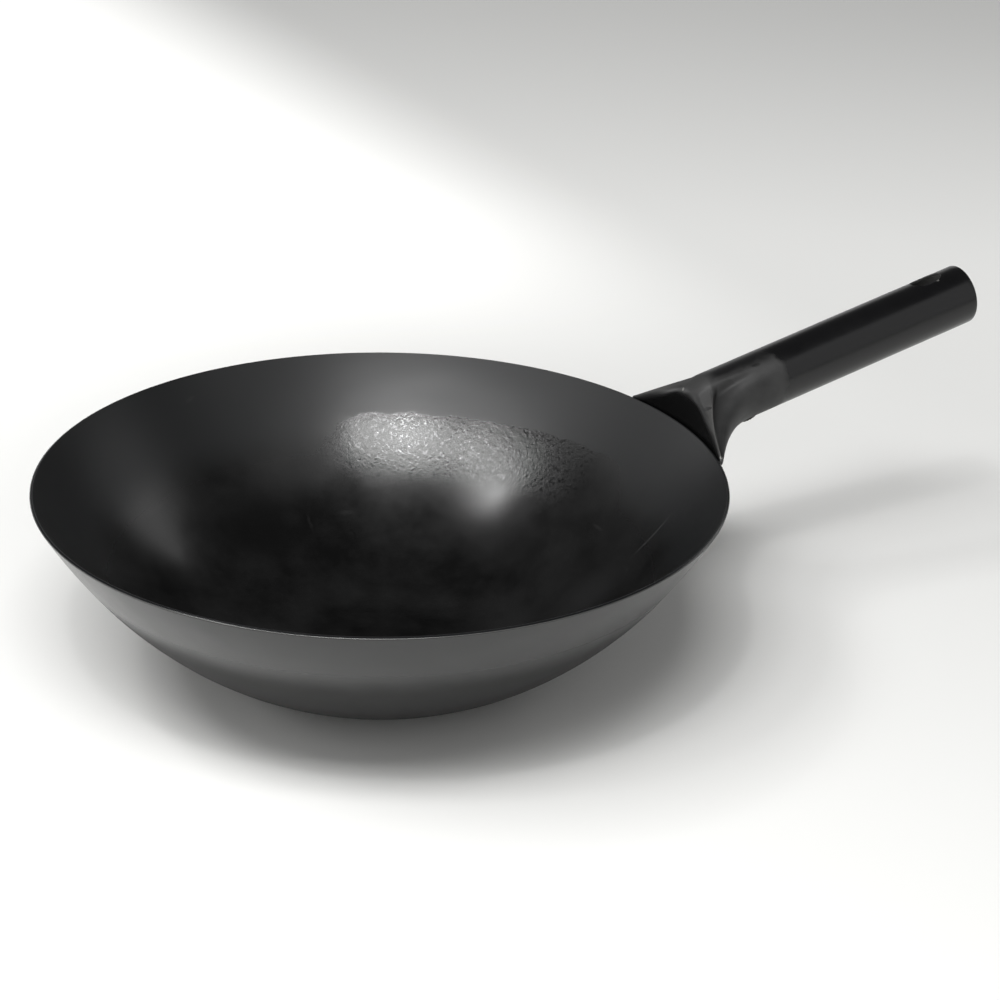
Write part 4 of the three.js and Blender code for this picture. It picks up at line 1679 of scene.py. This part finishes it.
@dataclass(frozen=True)
class Softbox:
    """A flat rectangular studio light, whose two ends are given in azimuth and elevation from the bowl."""

    name: str
    left: tuple[float, float]
    right: tuple[float, float]
    height: float
    distance: float
    radiance: float

    def hang(self, aim: Vector) -> Object:
        """Hang the light, facing a point.

        Args:
            aim: The point, in metres.

        Returns:
            The light.
        """
        ends = [direction(*end) * self.distance for end in (self.left, self.right)]
        across = ends[1] - ends[0]
        middle = (ends[0] + ends[1]) / 2
        data = bpy.data.lights.new(self.name, "AREA")
        data.shape = "RECTANGLE"
        data.size = across.length
        data.size_y = self.height
        data.energy = math.pi * self.radiance * across.length * self.height
        light = bpy.data.objects.new(self.name, data)
        back = middle.normalized()
        across.normalize()
        turn = Matrix((across, back.cross(across), back)).transposed()
        light.matrix_world = Matrix.Translation(aim + middle) @ turn.to_4x4()
        bpy.context.scene.collection.objects.link(light)
        return light


@dataclass
class Studio:
    """A pale floor, soft lights and the camera. Lengths here are metres."""

    aim: tuple[float, float, float] = (0.0, 0.0, 0.09)
    floor_size: float = 60.0
    floor_colour: str = "#e8e8e6"
    floor_roughness: float = 0.95
    glow_near: float = 0.28
    glow_far: float = 0.8
    glow: float = 0.85
    glow_centre: tuple[float, float, float] = (0.08, -0.02, 0.0)
    glow_right: float = 0.2
    glow_fades: tuple[float, float] = (0.12, 0.42)
    camera_place: tuple[float, float, float] = (-0.3220, -0.8143, 0.4846)
    camera_target: tuple[float, float, float] = (0.0582, -0.0083, 0.0768)
    camera_roll: float = 1.613
    lens: float = 72.0
    sensor: float = 36.0
    room_dark: float = 0.08
    room_light: float = 0.55
    room_facing: float = -30.0
    room_spread: tuple[float, float] = (72.0, 95.0)
    room_top: tuple[float, float] = (56.0, 66.0)
    backdrop_light: float = 0.55
    backdrop_facing: float = 153.0
    backdrop_spread: tuple[float, float] = (12.0, 22.0)
    backdrop_top: tuple[float, float] = (10.0, 36.0)
    lights: tuple[Softbox, ...] = (
        Softbox("key", (-60, 56), (-2, 56), 0.42, 1.5, 14.0),
        Softbox("key_lamp", (-39, 57.5), (-33, 57.5), 0.07, 1.5, 110.0),
        Softbox("second_key", (-110, 53.5), (-65, 53.5), 0.4, 1.5, 9.0),
        Softbox("middle_lamp", (-74, 54.5), (-70, 54.5), 0.05, 1.5, 65.0),
        Softbox("second_lamp", (-109, 59), (-105, 59), 0.057, 1.5, 60.0),
        Softbox("left_panel", (-168, 0), (-84, 31), 0.38, 2.0, 1.1),
        Softbox("right_reflector", (86, 25.5), (116, 23.5), 0.36, 1.6, 1.35),
    )

    def lay_floor(self) -> None:
        """Lay the pale floor, which glows a little more away from the wok, as a lit backdrop does."""
        half = self.floor_size / 2 / MM
        corners = [Vector((x * half, y * half, 0)) for x, y in ((-1, -1), (1, -1), (1, 1), (-1, 1))]
        floor = new_piece("floor", corners, [(0, 1, 2, 3)])
        # Matt paper: an even pale surface with no gloss.
        material, shader = new_material("Matt paper floor")
        tree = material.node_tree
        add = partial(add_node, tree)
        place = add("ShaderNodeTexCoord").outputs["Object"]
        place = add("ShaderNodeVectorMath", {0: place, 1: self.glow_centre}, operation="SUBTRACT").outputs[0]
        away = add("ShaderNodeVectorMath", {0: place}, operation="LENGTH").outputs["Value"]
        glow = add("ShaderNodeMapRange", {"Value": away, "From Min": self.glow_near,
                                          "From Max": self.glow_far, "To Max": self.glow},
                   interpolation_type="SMOOTHSTEP").outputs[0]
        across = add("ShaderNodeSeparateXYZ", {0: place}).outputs["X"]
        side = add("ShaderNodeMapRange", {
            "Value": across, "From Min": self.glow_fades[0], "From Max": self.glow_fades[1],
            "To Min": 1.0, "To Max": self.glow_right}, interpolation_type="SMOOTHSTEP").outputs[0]
        glow = add("ShaderNodeMath", {0: glow, 1: side}, operation="MULTIPLY").outputs[0]
        tree.links.new(glow, shader.inputs["Emission Strength"])
        shader.inputs["Emission Color"].default_value = linear(self.floor_colour)
        shader.inputs["Base Color"].default_value = linear(self.floor_colour)
        shader.inputs["Roughness"].default_value = self.floor_roughness
        floor.data.materials.append(material)

    def light_room(self) -> None:
        """Light the room: dim above, lighter in front, a pale backdrop low behind, and the softboxes."""
        world = bpy.data.worlds.new("studio")
        world.use_nodes = True
        bpy.context.scene.world = world
        tree = world.node_tree
        add = partial(add_node, tree)
        look = add("ShaderNodeTexCoord").outputs["Generated"]
        rise = add("ShaderNodeSeparateXYZ", {0: look}).outputs["Z"]
        level = add("ShaderNodeVectorMath", {0: look, 1: (1, 1, 0)}, operation="MULTIPLY").outputs[0]
        level = add("ShaderNodeVectorMath", {0: level}, operation="NORMALIZE").outputs[0]
        strength = self.room_dark
        for light, facing, spread, top in (
                (self.room_light, self.room_facing, self.room_spread, self.room_top),
                (self.backdrop_light, self.backdrop_facing, self.backdrop_spread, self.backdrop_top)):
            towards = add("ShaderNodeVectorMath", {0: level, 1: direction(facing, 0)},
                          operation="DOT_PRODUCT").outputs["Value"]
            inside, outside = (math.cos(math.radians(angle)) for angle in spread)
            aside = add("ShaderNodeMapRange", {"Value": towards, "From Min": outside, "From Max": inside,
                                               "To Max": light}, interpolation_type="SMOOTHSTEP").outputs[0]
            full, none = (math.sin(math.radians(angle)) for angle in top)
            below = add("ShaderNodeMapRange", {
                "Value": rise, "From Min": full, "From Max": none, "To Min": 1.0, "To Max": 0.0},
                interpolation_type="SMOOTHSTEP").outputs[0]
            strength = add("ShaderNodeMath", {0: aside, 1: below, 2: strength},
                           operation="MULTIPLY_ADD").outputs[0]
        world_light = tree.nodes["Background"]
        world_light.inputs["Color"].default_value = (1, 1, 1, 1)
        tree.links.new(strength, world_light.inputs["Strength"])
        for light in self.lights:
            light.hang(Vector(self.aim))

    def place_camera(self) -> None:
        """Place the camera at the photographer's viewpoint."""
        data = bpy.data.cameras.new("camera")
        data.lens = self.lens
        data.sensor_width = self.sensor
        camera = bpy.data.objects.new("camera", data)
        place = Vector(self.camera_place)
        look = (Vector(self.camera_target) - place).to_track_quat("-Z", "Y")
        turn = look @ Quaternion((0, 0, 1), math.radians(self.camera_roll))
        camera.matrix_world = Matrix.LocRotScale(place, turn, None)
        scene = bpy.context.scene
        scene.collection.objects.link(camera)
        scene.camera = camera
        scene.view_settings.view_transform = "Standard"

    def make(self) -> None:
        """Set up the floor, lights and camera."""
        self.lay_floor()
        self.light_room()
        self.place_camera()


def main() -> None:
    """Build the wok's pieces in order and set up the studio."""
    logging.basicConfig(level=logging.INFO, format="%(name)s %(message)s")
    bowl = Bowl()
    bowl.make()
    handle = Handle(bowl)
    handle.make()
    Welds(handle).make()
    Studio().make()


if __name__ == "__main__":
    main()
